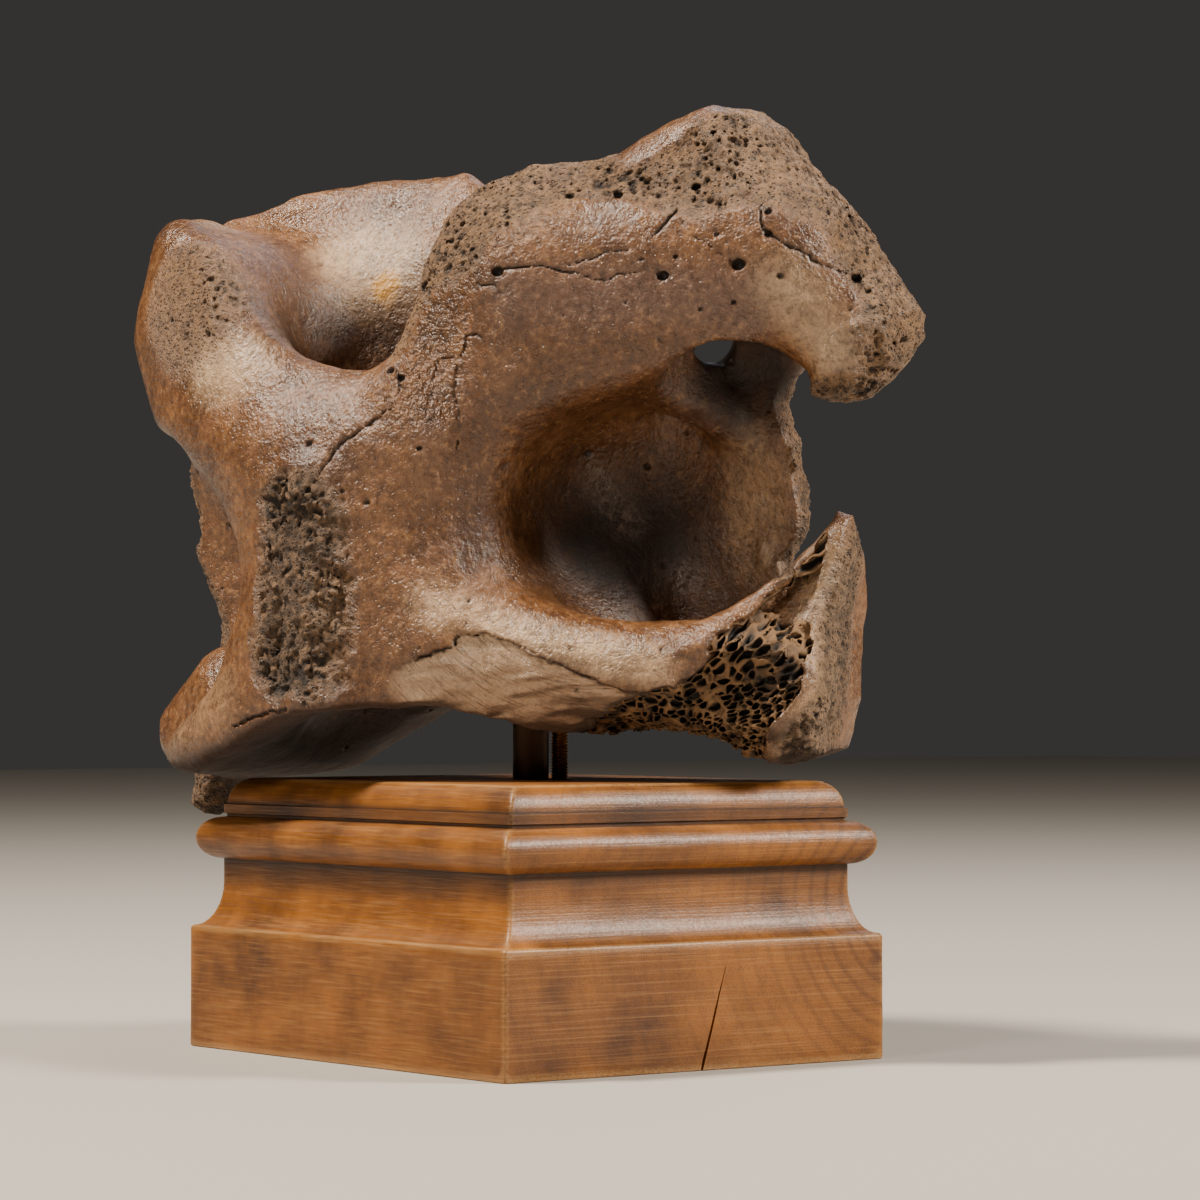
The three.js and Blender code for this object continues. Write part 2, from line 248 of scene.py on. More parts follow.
def new_object(name, mesh, *materials):
    """An object at the origin with its materials."""
    for material in materials:
        mesh.materials.append(material)
    obj = bpy.data.objects.new(name, mesh)
    scene.collection.objects.link(obj)
    return obj


def applied(obj):
    """The object with its modifiers applied, as a plain mesh."""
    plain = bpy.data.meshes.new_from_object(
        obj.evaluated_get(bpy.context.evaluated_depsgraph_get()))
    obj.modifiers.clear()
    obj.data = plain
    return obj


profile = plinth_profile()
rings = [plinth_ring(inset, height) for inset, height in profile]
columns = len(rings[0])
points = np.array(rings).reshape(-1, 3)
wear = 0.10 * (cloud(points.T, 9) + 1) + 0.05 * (cloud(points.T, 2.5, 1) + 1)
centre_line = np.array([0, 0, 1.0]) * points[:, 2:3]
inward = centre_line - points
inward /= np.linalg.norm(inward, axis=1)[:, None]
points += inward * wear[:, None] * (points[:, 2:3] < PLINTH_TOP - 0.5) * (points[:, 2:3] > 0.3)
plinth_mesh = bpy.data.meshes.new("plinth")
plinth_mesh.from_pydata(points * MM, [], tube_faces(len(rings), columns))

# The check in the end face, a thin wedge that tapers upward, and the holes of the uprights.
CHECK_DEPTH = 5
CHECK = [(-0.2, -2, 0.45), (1.2, 3, 0.5), (2.4, 7, 0.42), (3.9, 12, 0.4), (5.1, 16, 0.28),
         (6.4, 20, 0.18), (7.5, 23.8, 0.03)]
POST_RADIUS = 4.1
ROD_RADIUS = 2
ROD_AT = (7, -1.6)
GAP = 0.3
UPRIGHT_DEPTH = 14
UPRIGHT_TOP = 87
UPRIGHT_BOTTOM = PLINTH_TOP - UPRIGHT_DEPTH
face_y = -PLINTH_LENGTH / 2
points = []
for x, z, half in CHECK:
    points += [(x - half, face_y - 1, z), (x + half, face_y - 1, z),
               (x, face_y + CHECK_DEPTH * (0.3 + half), z)]
faces = tube_faces(len(CHECK), 3)


def turned(profile, at, sides):
    """Points and faces of a bar turned on a lathe, from its radii and heights."""
    turn = np.arange(sides) * 2 * math.pi / sides
    points = [(at[0] + radius * math.cos(a), at[1] + radius * math.sin(a), z)
              for radius, z in profile for a in turn]
    return points, tube_faces(len(profile), sides)


for radius, at in ((POST_RADIUS + GAP, (0, 0)), (ROD_RADIUS + GAP, ROD_AT)):
    more, walls = turned([(radius, UPRIGHT_BOTTOM), (radius, PLINTH_TOP + 5)], at, 64)
    faces += [tuple(i + len(points) for i in face) for face in walls]
    points += more
cutter_mesh = bpy.data.meshes.new("cutter")
cutter_mesh.from_pydata(np.array(points) * MM, [], faces)
cutter = bpy.data.objects.new("cutter", cutter_mesh)
scene.collection.objects.link(cutter)


def layered(tree, colour, layers):
    """A colour with others laid over it. Each layer follows a pattern from its start to its end,
    where its strength goes from the least to the most, and may keep within a mark."""
    for pattern, start, end, least, most, within, hexcode in layers:
        share = add(tree, "ShaderNodeMapRange", {
            "Value": pattern, "From Min": start, "From Max": end,
            "To Min": least, "To Max": most}).outputs[0]
        if within is not None:
            share = add(tree, "ShaderNodeMath", {
                0: share, 1: within}, operation="MULTIPLY").outputs[0]
        colour = add(tree, "ShaderNodeMix", {
            0: share, 6: colour, 7: srgb(hexcode)}, data_type="RGBA").outputs[2]
    return colour


# Waxed hardwood. The stain is blotchy, the fibres run along Y, and the yearly rings bend round
# the pith, which lay just outside one long side. Rubbed corners are pale. The quirks and the
# inside of the check are painted near black as shade.
PITH = (62, 38)
RING_WIDTH = 4.4
FIBRE_WIDTH = 0.55
FIBRE_LENGTH = 13
wood, tree = new_material("waxed_stained_hardwood")
place = add(tree, "ShaderNodeTexCoord").outputs["Object"]
fibre_place = add(tree, "ShaderNodeMapping", {
    "Vector": place,
    "Scale": (1 / (FIBRE_WIDTH * MM), 1 / (FIBRE_LENGTH * MM), 1 / (FIBRE_WIDTH * MM)),
}).outputs[0]
fibres = add(tree, "ShaderNodeTexNoise", {
    "Vector": fibre_place, "Scale": 1, "Detail": 3, "Roughness": 0.65}).outputs["Fac"]
saw_place = add(tree, "ShaderNodeMapping", {
    "Vector": place, "Scale": (1 / (30 * MM), 1 / (12 * MM), 1 / (0.5 * MM))}).outputs[0]
saw_marks = add(tree, "ShaderNodeTexNoise", {
    "Vector": saw_place, "Scale": 1, "Detail": 2}).outputs["Fac"]
blotch = add(tree, "ShaderNodeTexNoise", {
    "Vector": place, "Scale": 1 / (26 * MM), "Detail": 5, "Roughness": 0.62}).outputs["Fac"]
bend = add(tree, "ShaderNodeTexNoise", {
    "Vector": place, "Scale": 1 / (40 * MM), "Detail": 2}).outputs["Color"]
bent = add(tree, "ShaderNodeVectorMath", {
    0: bend, 1: (6 * MM, 6 * MM, 6 * MM), 2: place}, operation="MULTIPLY_ADD").outputs[0]
from_pith = add(tree, "ShaderNodeMapping", {
    "Vector": bent, "Location": (-PITH[0] * MM, 0, -PITH[1] * MM),
    "Scale": (1, 0.02, 1)}).outputs[0]
reach = add(tree, "ShaderNodeVectorMath", {0: from_pith}, operation="LENGTH").outputs["Value"]
phase = add(tree, "ShaderNodeMath", {
    0: reach, 1: 2 * math.pi / (RING_WIDTH * MM)}, operation="MULTIPLY").outputs[0]
wave = add(tree, "ShaderNodeMath", {0: phase}, operation="SINE").outputs[0]
rings_strength = add(tree, "ShaderNodeMapRange", {
    "Value": reach, "From Min": 12 * MM, "From Max": 50 * MM, "To Min": 0.5, "To Max": 0.12,
}).outputs[0]
worn = add(tree, "ShaderNodeAttribute", attribute_name="worn").outputs["Fac"]
rubbed = add(tree, "ShaderNodeMath", {0: worn, 1: fibres}, operation="MULTIPLY").outputs[0]
groove_shade = add(tree, "ShaderNodeAttribute", attribute_name="groove_shade").outputs["Fac"]
colour = layered(tree, srgb("#4a2807"), [
    (blotch, 0.32, 0.66, 0, 1, None, "#935a1b"),
    (fibres, 0.52, 0.72, 0, 0.55, None, "#4a260f"),
    (saw_marks, 0.5, 0.75, 0, 0.20, None, "#d09a5e"),
    (wave, 0.25, 1.0, 0, 1, rings_strength, "#3f210d"),
    (rubbed, 0.2, 0.6, 0, 0.45, None, "#c99c63"),
    # Painted shade in the quirks and inside the check.
    (groove_shade, 0, 1, 0, 1, None, "#1d0f07"),
])
polish = add(tree, "ShaderNodeMapRange", {
    "Value": fibres, "From Min": 0.3, "From Max": 0.7, "To Min": 0.36, "To Max": 0.56}).outputs[0]
height = add(tree, "ShaderNodeMath", {0: fibres, 1: saw_marks}, operation="ADD").outputs[0]
bump = add(tree, "ShaderNodeBump", {
    "Height": height, "Strength": 0.35, "Distance": 0.25 * MM}).outputs[0]
shader = add(tree, "ShaderNodeBsdfPrincipled", {
    "Base Color": colour, "Roughness": polish, "Normal": bump,
    "Coat Weight": 0.06, "Coat Roughness": 0.25})
add(tree, "ShaderNodeOutputMaterial", {"Surface": shader.outputs[0]})

plinth = new_object("plinth_wood_block", plinth_mesh, wood)
drilling = plinth.modifiers.new("drilling", "BOOLEAN")
drilling.operation = "DIFFERENCE"
drilling.solver = "EXACT"
drilling.object = cutter
applied(plinth)
bpy.data.objects.remove(cutter)


def places(mesh):
    """The vertices of a mesh in millimetres, as three rows."""
    co = np.empty(len(mesh.vertices) * 3, np.float32)
    mesh.vertices.foreach_get("co", co)
    return co.reshape(-1, 3).T / MM


def mark(mesh, name, values):
    """A value on every vertex, which the material reads by its name."""
    mesh.attributes.new(name, "FLOAT", "POINT").data.foreach_set(
        "value", np.ascontiguousarray(values, np.float32))


x, y, z = places(plinth.data)
inset_x = PLINTH_WIDTH / 2 - np.abs(x)
inset_y = PLINTH_LENGTH / 2 - np.abs(y)
inset = np.minimum(inset_x, inset_y)
worn_mask = 0.8 * np.exp(-((inset_x - inset_y) / 1.4) ** 2) * (z < PLINTH_TOP - 0.2)
for arris_inset, arris_height in ((0.1, BLOCK_TOP), (TOP_INSET - 1, PLINTH_TOP), (0.2, 0.2)):
    off = np.hypot(inset - arris_inset, z - arris_height)
    worn_mask = np.maximum(worn_mask, np.exp(-(off / 1.3) ** 2))
# Painted shade: the quirks between the mouldings and the inside of the check are darkened.
groove_shade_mask = np.zeros_like(x)
for quirk_inset, quirk_height in ((NECK_INSET + 0.4, FILLET_BOTTOM + 0.4),
                                  (NECK_INSET + EDGE, FILLET_TOP), (NECK_INSET, TORUS_BOTTOM)):
    off = np.hypot(inset - quirk_inset, z - quirk_height)
    groove_shade_mask = np.maximum(groove_shade_mask, 0.85 * np.exp(-(off / 0.7) ** 2))
inside_check = (y > face_y + 0.6) & (inset_y < 7) & (z < BLOCK_TOP - 2) & (np.abs(x - 4) < 6)
groove_shade_mask = np.where(inside_check & (inset_y > 0.4) & (z > 0.7), 1, groove_shade_mask)
mark(plinth.data, "worn", worn_mask)
mark(plinth.data, "groove_shade", groove_shade_mask)
plinth.data.shade_smooth()
plinth.data.set_sharp_from_angle(angle=math.radians(40))
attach(plinth, "root")
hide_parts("plinth")


# Support post
# A smooth round steel bar, blackened with age, glued into a blind hole in the wood and another in
# the bone. It carries the weight.
CHAMFER = 0.5

steel, tree = new_material("blackened_steel")
place = add(tree, "ShaderNodeTexCoord").outputs["Object"]
lathe_place = add(tree, "ShaderNodeMapping", {
    "Vector": place, "Scale": (1 / (6 * MM), 1 / (6 * MM), 1 / (0.25 * MM))}).outputs[0]
lathe_marks = add(tree, "ShaderNodeTexNoise", {
    "Vector": lathe_place, "Scale": 1, "Detail": 2}).outputs["Fac"]
patina = add(tree, "ShaderNodeTexNoise", {
    "Vector": place, "Scale": 1 / (5 * MM), "Detail": 4}).outputs["Fac"]
colour = add(tree, "ShaderNodeMix", {
    0: patina, 6: srgb("#2b1d14"), 7: srgb("#5a4230")}, data_type="RGBA").outputs[2]
rough = add(tree, "ShaderNodeMapRange", {
    "Value": patina, "From Min": 0.3, "From Max": 0.7, "To Min": 0.28, "To Max": 0.5}).outputs[0]
bump = add(tree, "ShaderNodeBump", {
    "Height": lathe_marks, "Strength": 0.3, "Distance": 0.05 * MM}).outputs[0]
shader = add(tree, "ShaderNodeBsdfPrincipled", {
    "Base Color": colour, "Metallic": 0.85, "Roughness": rough, "Normal": bump})
add(tree, "ShaderNodeOutputMaterial", {"Surface": shader.outputs[0]})

points, faces = turned([
    (POST_RADIUS - CHAMFER, UPRIGHT_BOTTOM), (POST_RADIUS, UPRIGHT_BOTTOM + CHAMFER),
    (POST_RADIUS, PLINTH_TOP), (POST_RADIUS, UPRIGHT_TOP - CHAMFER),
    (POST_RADIUS - CHAMFER, UPRIGHT_TOP)], (0, 0), 96)
post_mesh = bpy.data.meshes.new("support_post_bar")
post_mesh.from_pydata(np.array(points) * MM, [], faces)
post_mesh.shade_smooth()
post_mesh.set_sharp_from_angle(angle=math.radians(40))
post = new_object("support_post_bar", post_mesh, steel)
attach(post, "root")
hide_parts("support_post")


# Threaded rod
# Plain M4 brass studding, screwed into the wood close beside the post, with its 0.7 mm thread
# left bare. It keeps the bone from turning on the post.
THREAD_PITCH = 0.7
THREAD_DEPTH = 0.38
THREAD_SIDES = 36
ROWS_PER_TURN = 8
END_ROW = 0.0005

brass, tree = new_material("dull_brass")
place = add(tree, "ShaderNodeTexCoord").outputs["Object"]
tarnish = add(tree, "ShaderNodeTexNoise", {
    "Vector": place, "Scale": 1 / (2.5 * MM), "Detail": 4}).outputs["Fac"]
colour = add(tree, "ShaderNodeMix", {
    0: tarnish, 6: srgb("#6b4a20"), 7: srgb("#c79a4e")}, data_type="RGBA").outputs[2]
rough = add(tree, "ShaderNodeMapRange", {
    "Value": tarnish, "From Min": 0.3, "From Max": 0.7, "To Min": 0.45, "To Max": 0.25}).outputs[0]
shader = add(tree, "ShaderNodeBsdfPrincipled", {
    "Base Color": colour, "Metallic": 1.0, "Roughness": rough})
add(tree, "ShaderNodeOutputMaterial", {"Surface": shader.outputs[0]})


def thread_tree():
    """A screw thread wound up the Z axis: a sheet is wrapped round it and shaped to the helix."""
    tree = bpy.data.node_groups.new("thread", "GeometryNodeTree")
    sockets = {}
    for name in ("Length", "Pitch", "Radius", "Depth"):
        socket = tree.interface.new_socket(name, in_out="INPUT", socket_type="NodeSocketFloat")
        sockets[name] = socket.identifier
    for name in ("Sides", "Rows"):
        socket = tree.interface.new_socket(name, in_out="INPUT", socket_type="NodeSocketInt")
        sockets[name] = socket.identifier
    foot = tree.interface.new_socket("Foot", in_out="INPUT", socket_type="NodeSocketVector")
    sockets["Foot"] = foot.identifier
    finish = tree.interface.new_socket(
        "Material", in_out="INPUT", socket_type="NodeSocketMaterial")
    sockets["Material"] = finish.identifier
    tree.interface.new_socket("Mesh", in_out="OUTPUT", socket_type="NodeSocketGeometry")
    given = add(tree, "NodeGroupInput").outputs

    sheet = add(tree, "GeometryNodeMeshGrid", {
        "Size X": 1.0, "Size Y": 1.0, "Vertices X": given["Sides"], "Vertices Y": given["Rows"]})
    here = add(tree, "ShaderNodeSeparateXYZ", {
        0: add(tree, "GeometryNodeInputPosition").outputs[0]}).outputs
    around = add(tree, "ShaderNodeMath", {0: here["X"], 1: 0.5}, operation="ADD").outputs[0]
    share = add(tree, "ShaderNodeMath", {0: here["Y"], 1: 0.5}, operation="ADD").outputs[0]
    rise = add(tree, "ShaderNodeMath", {
        0: share, 1: given["Length"]}, operation="MULTIPLY").outputs[0]
    turns = add(tree, "ShaderNodeMath", {
        0: rise, 1: given["Pitch"]}, operation="DIVIDE").outputs[0]
    turns = add(tree, "ShaderNodeMath", {0: turns, 1: around}, operation="SUBTRACT").outputs[0]
    tooth = add(tree, "ShaderNodeMath", {0: turns, 1: 0.5}, operation="PINGPONG").outputs[0]
    tooth = add(tree, "ShaderNodeMath", {0: tooth, 1: -2.0}, operation="MULTIPLY").outputs[0]
    radius = add(tree, "ShaderNodeMath", {
        0: tooth, 1: given["Depth"], 2: given["Radius"]}, operation="MULTIPLY_ADD").outputs[0]
    for limit, side in ((END_ROW, "GREATER_THAN"), (1 - END_ROW, "LESS_THAN")):
        inner = add(tree, "ShaderNodeMath", {0: share, 1: limit}, operation=side).outputs[0]
        radius = add(tree, "ShaderNodeMath", {
            0: radius, 1: inner}, operation="MULTIPLY").outputs[0]
    angle = add(tree, "ShaderNodeMath", {
        0: around, 1: 2 * math.pi}, operation="MULTIPLY").outputs[0]
    spot = {"Z": rise}
    for axis, wave in (("X", "COSINE"), ("Y", "SINE")):
        swing = add(tree, "ShaderNodeMath", {0: angle}, operation=wave).outputs[0]
        spot[axis] = add(tree, "ShaderNodeMath", {
            0: radius, 1: swing}, operation="MULTIPLY").outputs[0]
    spot = add(tree, "ShaderNodeCombineXYZ", spot).outputs[0]
    spot = add(tree, "ShaderNodeVectorMath", {
        0: spot, 1: given["Foot"]}, operation="ADD").outputs[0]
    wrapped = add(tree, "GeometryNodeSetPosition", {
        "Geometry": sheet.outputs["Mesh"], "Position": spot}).outputs[0]
    closed = add(tree, "GeometryNodeMergeByDistance", {
        "Geometry": wrapped, "Distance": 0.002 * MM}).outputs[0]
    real = add(tree, "GeometryNodeRealizeInstances", {"Geometry": closed}).outputs[0]
    done = add(tree, "GeometryNodeSetMaterial", {
        "Geometry": real, "Material": given["Material"]}).outputs[0]
    add(tree, "NodeGroupOutput", {"Mesh": done})
    return tree, sockets


tree, sockets = thread_tree()
rod_mesh = bpy.data.meshes.new("threaded_rod")
studding = new_object("threaded_rod_studding", rod_mesh)
winding = studding.modifiers.new("thread", "NODES")
winding.node_group = tree
length = UPRIGHT_TOP - UPRIGHT_BOTTOM
winding[sockets["Length"]] = length * MM
winding[sockets["Pitch"]] = THREAD_PITCH * MM
winding[sockets["Radius"]] = ROD_RADIUS * MM
winding[sockets["Depth"]] = THREAD_DEPTH * MM
winding[sockets["Sides"]] = THREAD_SIDES + 1
winding[sockets["Rows"]] = int(length / THREAD_PITCH * ROWS_PER_TURN) + 1
winding[sockets["Foot"]] = (ROD_AT[0] * MM, ROD_AT[1] * MM, UPRIGHT_BOTTOM * MM)
winding[sockets["Material"]] = brass
applied(studding)
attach(studding, "root")
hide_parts("threaded_rod")


# Vertebra
# The atlas of a steppe bison, one fossil bone waxed to a deep brown. It grew as a ring with two
# wings, of which one is broken away and the other has lost its edge and a corner below. It sits
# on the two uprights.

# The bone's own frame has x toward the whole wing, y toward the back of the neck and z toward the
# head. Its form is a distance field there, in millimetres, less than 0 inside the bone.
BONE_MIDDLE = (0, 0, 140)
BONE_AT = (-16.5, 31.4, 140)
BONE_TURN = -61.3
BONE_LEAN = 4.5
LEAN_HEADING = -37.3
GRID_LOW = np.array([-82.0, -60.0, 46.0])
GRID_HIGH = np.array([140.0, 58.0, 218.0])
CELL = 0.45
COARSENESS = 4
TRIANGLES = 195000


def join(a, b, k):
    """Two forms as one, their seam filled over a width."""
    h = np.maximum(k - np.abs(a - b), 0) / k
    return np.minimum(a, b) - h * h * k * 0.25


def cut(a, b, k):
    """The first form without the second, its edge rounded over a width."""
    return -join(-a, b, k)


def overlap(a, b, k):
    """What two forms share, its edge rounded over a width."""
    return -join(-a, -b, k)


def egg(p, c, r):
    """Distance to an egg, from its middle and its three radii."""
    x, y, z = (p[i] - c[i] for i in range(3))
    near = np.sqrt((x / r[0]) ** 2 + (y / r[1]) ** 2 + (z / r[2]) ** 2)
    slope = np.sqrt((x / r[0] ** 2) ** 2 + (y / r[1] ** 2) ** 2 + (z / r[2] ** 2) ** 2)
    return near * (near - 1) / np.maximum(slope, 1e-6)


def rod(p, a, b, ra, rb):
    """Distance to a round-ended rod with a radius at each end."""
    d = [float(b[i] - a[i]) for i in range(3)]
    along = sum((p[i] - a[i]) * d[i] for i in range(3))
    t = np.clip(along / sum(v * v for v in d), 0, 1)
    off = np.sqrt(sum((p[i] - a[i] - t * d[i]) ** 2 for i in range(3)))
    return off - (ra + (rb - ra) * t)


def outline(x, z, points):
    """Distance to a closed outline in x and z, less than 0 inside it."""
    inside = np.zeros(x.shape, bool)
    nearest = np.full(x.shape, 1e6, np.float32)
    for (ax, az), (bx, bz) in zip(points, points[1:] + points[:1]):
        ex, ez = bx - ax, bz - az
        t = np.clip(((x - ax) * ex + (z - az) * ez) / (ex * ex + ez * ez), 0, 1)
        nearest = np.minimum(nearest, (x - ax - ex * t) ** 2 + (z - az - ez * t) ** 2)
        if az != bz:
            inside ^= ((az > z) != (bz > z)) & (x < ex * (z - az) / ez + ax)
    return np.where(inside, -np.sqrt(nearest), np.sqrt(nearest))


def plate(p, points, middle, half, k):
    """A flat plate cut to an outline, its edge rounded."""
    return overlap(outline(p[0], p[2], points), np.abs(p[1] - middle) - half, k)


def ease(t, knots):
    """A value that eases from one knot to the next."""
    value = knots[0][1]
    for (a, low), (b, high) in zip(knots, knots[1:]):
        s = np.clip((t - a) / (b - a), 0, 1)
        value = value + (high - low) * s * s * (3 - 2 * s)
    return value


def chain(t, knots, width):
    """A value read off a chain of knots, with its corners rounded over a width."""
    at, value = zip(*knots)
    read = sum(np.interp(t + shift, at, value) for shift in (-width, 0, width))
    return (read / 3).astype(np.float32)


def swell(t, a, b, power):
    """0 up to a and 1 from b on."""
    return np.clip((t - a) / (b - a), 0, 1) ** power


def oval_radius(x, y, a, b, power):
    """How far a squarish oval reaches in a point's direction."""
    off = np.maximum(np.hypot(x, y), 1e-6)
    return ((np.abs(x) / off / a) ** power + (np.abs(y) / off / b) ** power) ** (-1 / power)


def ring_body(p):
    """The ring of the atlas with its two joint cups, still without its canal."""
    x, y, z = p
    off = np.hypot(x, y)
    width = ease(z, [(60, 58), (73, 62), (92, 54), (115, 46), (150, 58), (168, 62), (190, 56),
                     (205, 52)])
    belly = ease(z, [(60, 38), (82, 44), (105, 46), (132, 45), (165, 38), (195, 36)])
    spine = ease(z, [(60, 45), (90, 46), (150, 45), (205, 46)])
    outer = off - oval_radius(x, y, width, np.where(y < 0, belly, spine), 2.15)
    valley = chain(x, [(-62, 200), (-50, 199.5), (-38, 192.5), (-30, 188.5), (-24, 180),
                       (-19, 172), (-12, 164), (-4, 158.5), (6, 155.5), (14, 156.5), (19, 161),
                       (24, 172), (29, 184.5), (33, 190.5), (42, 194.5), (50, 199), (60, 204)], 3)
    front = overlap(outer, (z - valley) * 0.62, 12)
    inner = oval_radius(x, y, 20 + 36 * swell(z, 165, 195, 2.4), 19 + 20 * swell(z, 160, 205, 1.6),
                        2.1)
    crest = ease(x, [(-60, 197.5), (-54, 200), (-38, 205.7), (-20, 207.4), (3, 207.2),
                     (15, 197), (40, 195)])
    arch = overlap(overlap(outer, np.maximum(inner - off, -y - 2), 5), z - crest, 6)
    return join(front, arch, 5)


def lower_edge(p):
    """How far a point lies below the bone's lower edge."""
    x, y, z = p
    near_edge = chain(x, [(-58, 68), (-44, 66), (-30, 71), (-19, 75.5), (-8, 78), (9, 79),
                          (25, 76.5), (33, 73.5), (45, 69.5), (62, 65.4), (80, 61.6), (92, 57),
                          (120, 50)], 2)
    far_edge = chain(x, [(-58, 63), (-36, 64), (-10, 77), (10, 79), (34, 74), (70, 67), (84, 60.5),
                         (120, 50)], 3)
    return (near_edge + (far_edge - near_edge) * np.clip((y + 20) / 40, 0, 1) - z) * 0.85


WING_CORNER = [
    (30, 154), (64, 156), (76, 157.5), (91, 156.5), (100, 150.5), (104.8, 144.5), (105.4, 138.6),
    (111, 138), (116, 138.6), (121.5, 141.6), (126.6, 145.4), (130.2, 150.5), (130.8, 156),
    (127.6, 161.4), (125, 166), (121, 172), (116.4, 177.6), (112.4, 181), (107, 187.2),
    (105.8, 191), (104, 195.6), (101, 200.4), (95.8, 204.8), (88, 207.6), (77, 204.4),
    (71, 201.6), (66.5, 198.2), (62.5, 195.6), (57, 196.8), (50, 195.5), (42, 190), (30, 184)]
WING_PLATE = [
    (34, 168), (97, 160), (97.5, 148), (92.5, 140), (94.5, 131), (96, 115), (95, 109), (90, 104),
    (93, 84), (84, 64), (34, 66)]
WING_WALL = [
    (84, 60), (94, 58.5), (101, 61), (105, 72), (107, 88), (112, 104), (112.5, 113), (108, 115),
    (103, 106), (97, 97), (86, 92)]
WING_STUMP = [
    (-34, 165), (-58, 160), (-63, 148), (-64, 139), (-62, 128), (-64, 117), (-60, 110), (-55, 95),
    (-60, 70), (-34, 70)]


def whole_wing(p):
    """The whole wing, with the brow over its hollow and the shelf below it."""
    x, _, z = p
    d = plate(p, WING_PLATE, ease(x, [(30, 18), (70, 19), (100, 15), (125, 10)]), 4.2, 4)
    corner_half = ease(x, [(34, 20), (70, 19), (100, 18), (124, 14)])
    corner = plate(p, WING_CORNER, ease(x, [(34, 4), (80, 1), (124, 3)]), corner_half, 15)
    d = join(d, corner, 8)
    d = join(d, rod(p, (46, -16, 172), (98, -1, 172.5), 21, 16), 12)
    d = join(d, rod(p, (44, -16, 152), (80, -6, 155), 20, 16), 10)
    d = join(d, rod(p, (72, 13, 187), (90, 5, 193), 10, 11), 6)
    d = join(d, rod(p, (26, -27, 90), (92, -12, 78), 15, 14), 10)
    wall_half = ease(z, [(60, 17), (88, 15), (116, 3)])
    return join(d, plate(p, WING_WALL, ease(z, [(64, 2), (92, 4), (115, -1)]), wall_half, 5), 6)


def unbroken(p):
    """The bone with its hollows, before the corner of the shelf broke away."""
    even = (np.abs(p[0]), p[1], p[2])
    d = join(ring_body(p), rod(even, (42, 16, 160), (46, 20, 80), 17, 14), 12)
    d = join(d, whole_wing(p), 7)
    d = join(d, rod(p, (-2, -41, 78), (0, -43, 126), 8, 5), 10)
    d = join(d, egg(p, (0, 44, 152), (13, 8, 26)), 8)
    d = cut(d, egg(p, (88, -42, 118), (40, 34, 26)), 12)
    d = cut(d, egg(p, (-78, -50, 112), (53, 44, 36)), 18)
    d = cut(d, egg(p, (-64, -14, 112), (38, 33, 34)), 9)
    d = cut(d, egg(p, (65, -12, 118), (26, 25, 23)), 11)
    d = cut(d, egg(p, (84, -14, 121), (22, 24, 25.5)), 7)
    d = cut(d, egg(p, (86, -4, 146), (13, 17, 11)), 4)
    d = join(d, rod(p, (69, 2, 148), (79, 13, 136), 6, 3), 9)
    d = join(d, rod(p, (82, -21, 86), (108, -4, 107), 3.2, 2.6), 5)
    d = join(d, rod(p, (-44, -4, 84), (-58.5, 2, 76.5), 12, 9.4), 5)
    d = overlap(d, lower_edge(p), 3)
    d = join(d, plate(p, WING_STUMP, 19, 4.5, 4), 5)
    d = join(d, rod(p, (-52, 20, 84), (-67, 22, 60), 11, 6), 6)
    d = cut(d, egg(p, (68, 44, 156), (20, 16, 18)), 8)
    d = cut(d, egg(even, (62, 56, 104), (20, 30, 34)), 10)
    d = cut(d, rod(p, (80, 4, 154), (62, 44, 160), 4.5, 6.5), 2)
    d = cut(d, rod(p, (34, 0, 210.5), (62, 4, 209), 10, 8), 6)
    d = cut(d, rod(p, (0, 0, 40), (0, 2, 164), 20, 20), 14)
    return cut(d, egg(p, (0, 6, 58), (30, 30, 26)), 6)


# The corner of the shelf broke off in one scoop.
BREAK_MIDDLE = (101, -44, 72)
BREAK_RADII = (33, 24, 30)

# The spongy inside that the break laid open, as its outline in x and z and its depth.
SPONGY = [(46, 60), (48, 68.5), (54, 71), (59, 73), (66, 75.4), (72, 77), (77, 78), (81, 80),
          (84.5, 82), (85.5, 85), (86.5, 88.5), (90, 90.5), (94, 93.5), (98, 98), (103, 103),
          (107, 108.5), (106, 103), (104.5, 97), (103.5, 91), (104, 85), (104, 79), (101, 73),
          (97, 69.3), (94, 67), (91.5, 62), (90, 52), (50, 52)]
SPONGE_DEPTH = 3.6


def spongy_zone(p):
    """1 where the break shows the spongy inside."""
    x, y, z = p
    off = outline(x, z, SPONGY) + 0.8 * cloud(p, 3, 31) + 0.4 * cloud(p, 1.3, 32)
    front = np.interp(z, (60, 80, 90, 112), (8, 0, -11, -1)) - y
    return np.clip(0.5 - off / 0.9, 0, 1) * np.clip(front / 1.5, 0, 1)


def vertebra(p):
    """The bone's smooth form."""
    return cut(unbroken(p), egg(p, BREAK_MIDDLE, BREAK_RADII), 1.5)


def zone(distance, fade):
    """1 inside a form and 0 well outside it."""
    return np.clip(0.5 - distance / fade, 0, 1)


# Porous, weathered skin over the brow's top and the wing's corner, as an outline in x and z.
POROUS = [(18, 154), (23, 160), (29, 168), (36, 172), (42, 174), (46, 180), (52, 184), (58, 186),
          (65, 187), (72, 186), (79, 184), (84, 182), (90, 181), (94, 181), (99, 183), (105, 181),
          (111, 179), (113, 178), (117, 173), (118, 168), (120.5, 164), (121.5, 155),
          (120.5, 149), (118.5, 143), (116, 138), (118, 130), (140, 130), (140, 215), (95, 215),
          (92, 205), (88, 200), (83, 196.5), (78, 194.5), (72, 193), (66, 197), (60, 202),
          (50, 207), (10, 215), (12, 180)]
TUBERCLE = [(-13, 127), (-6, 131), (3, 130), (9, 125), (8, 112), (9, 104), (7, 94), (6, 86),
            (-3, 82), (-12, 83), (-18, 88), (-15, 98), (-16, 108), (-11, 118)]


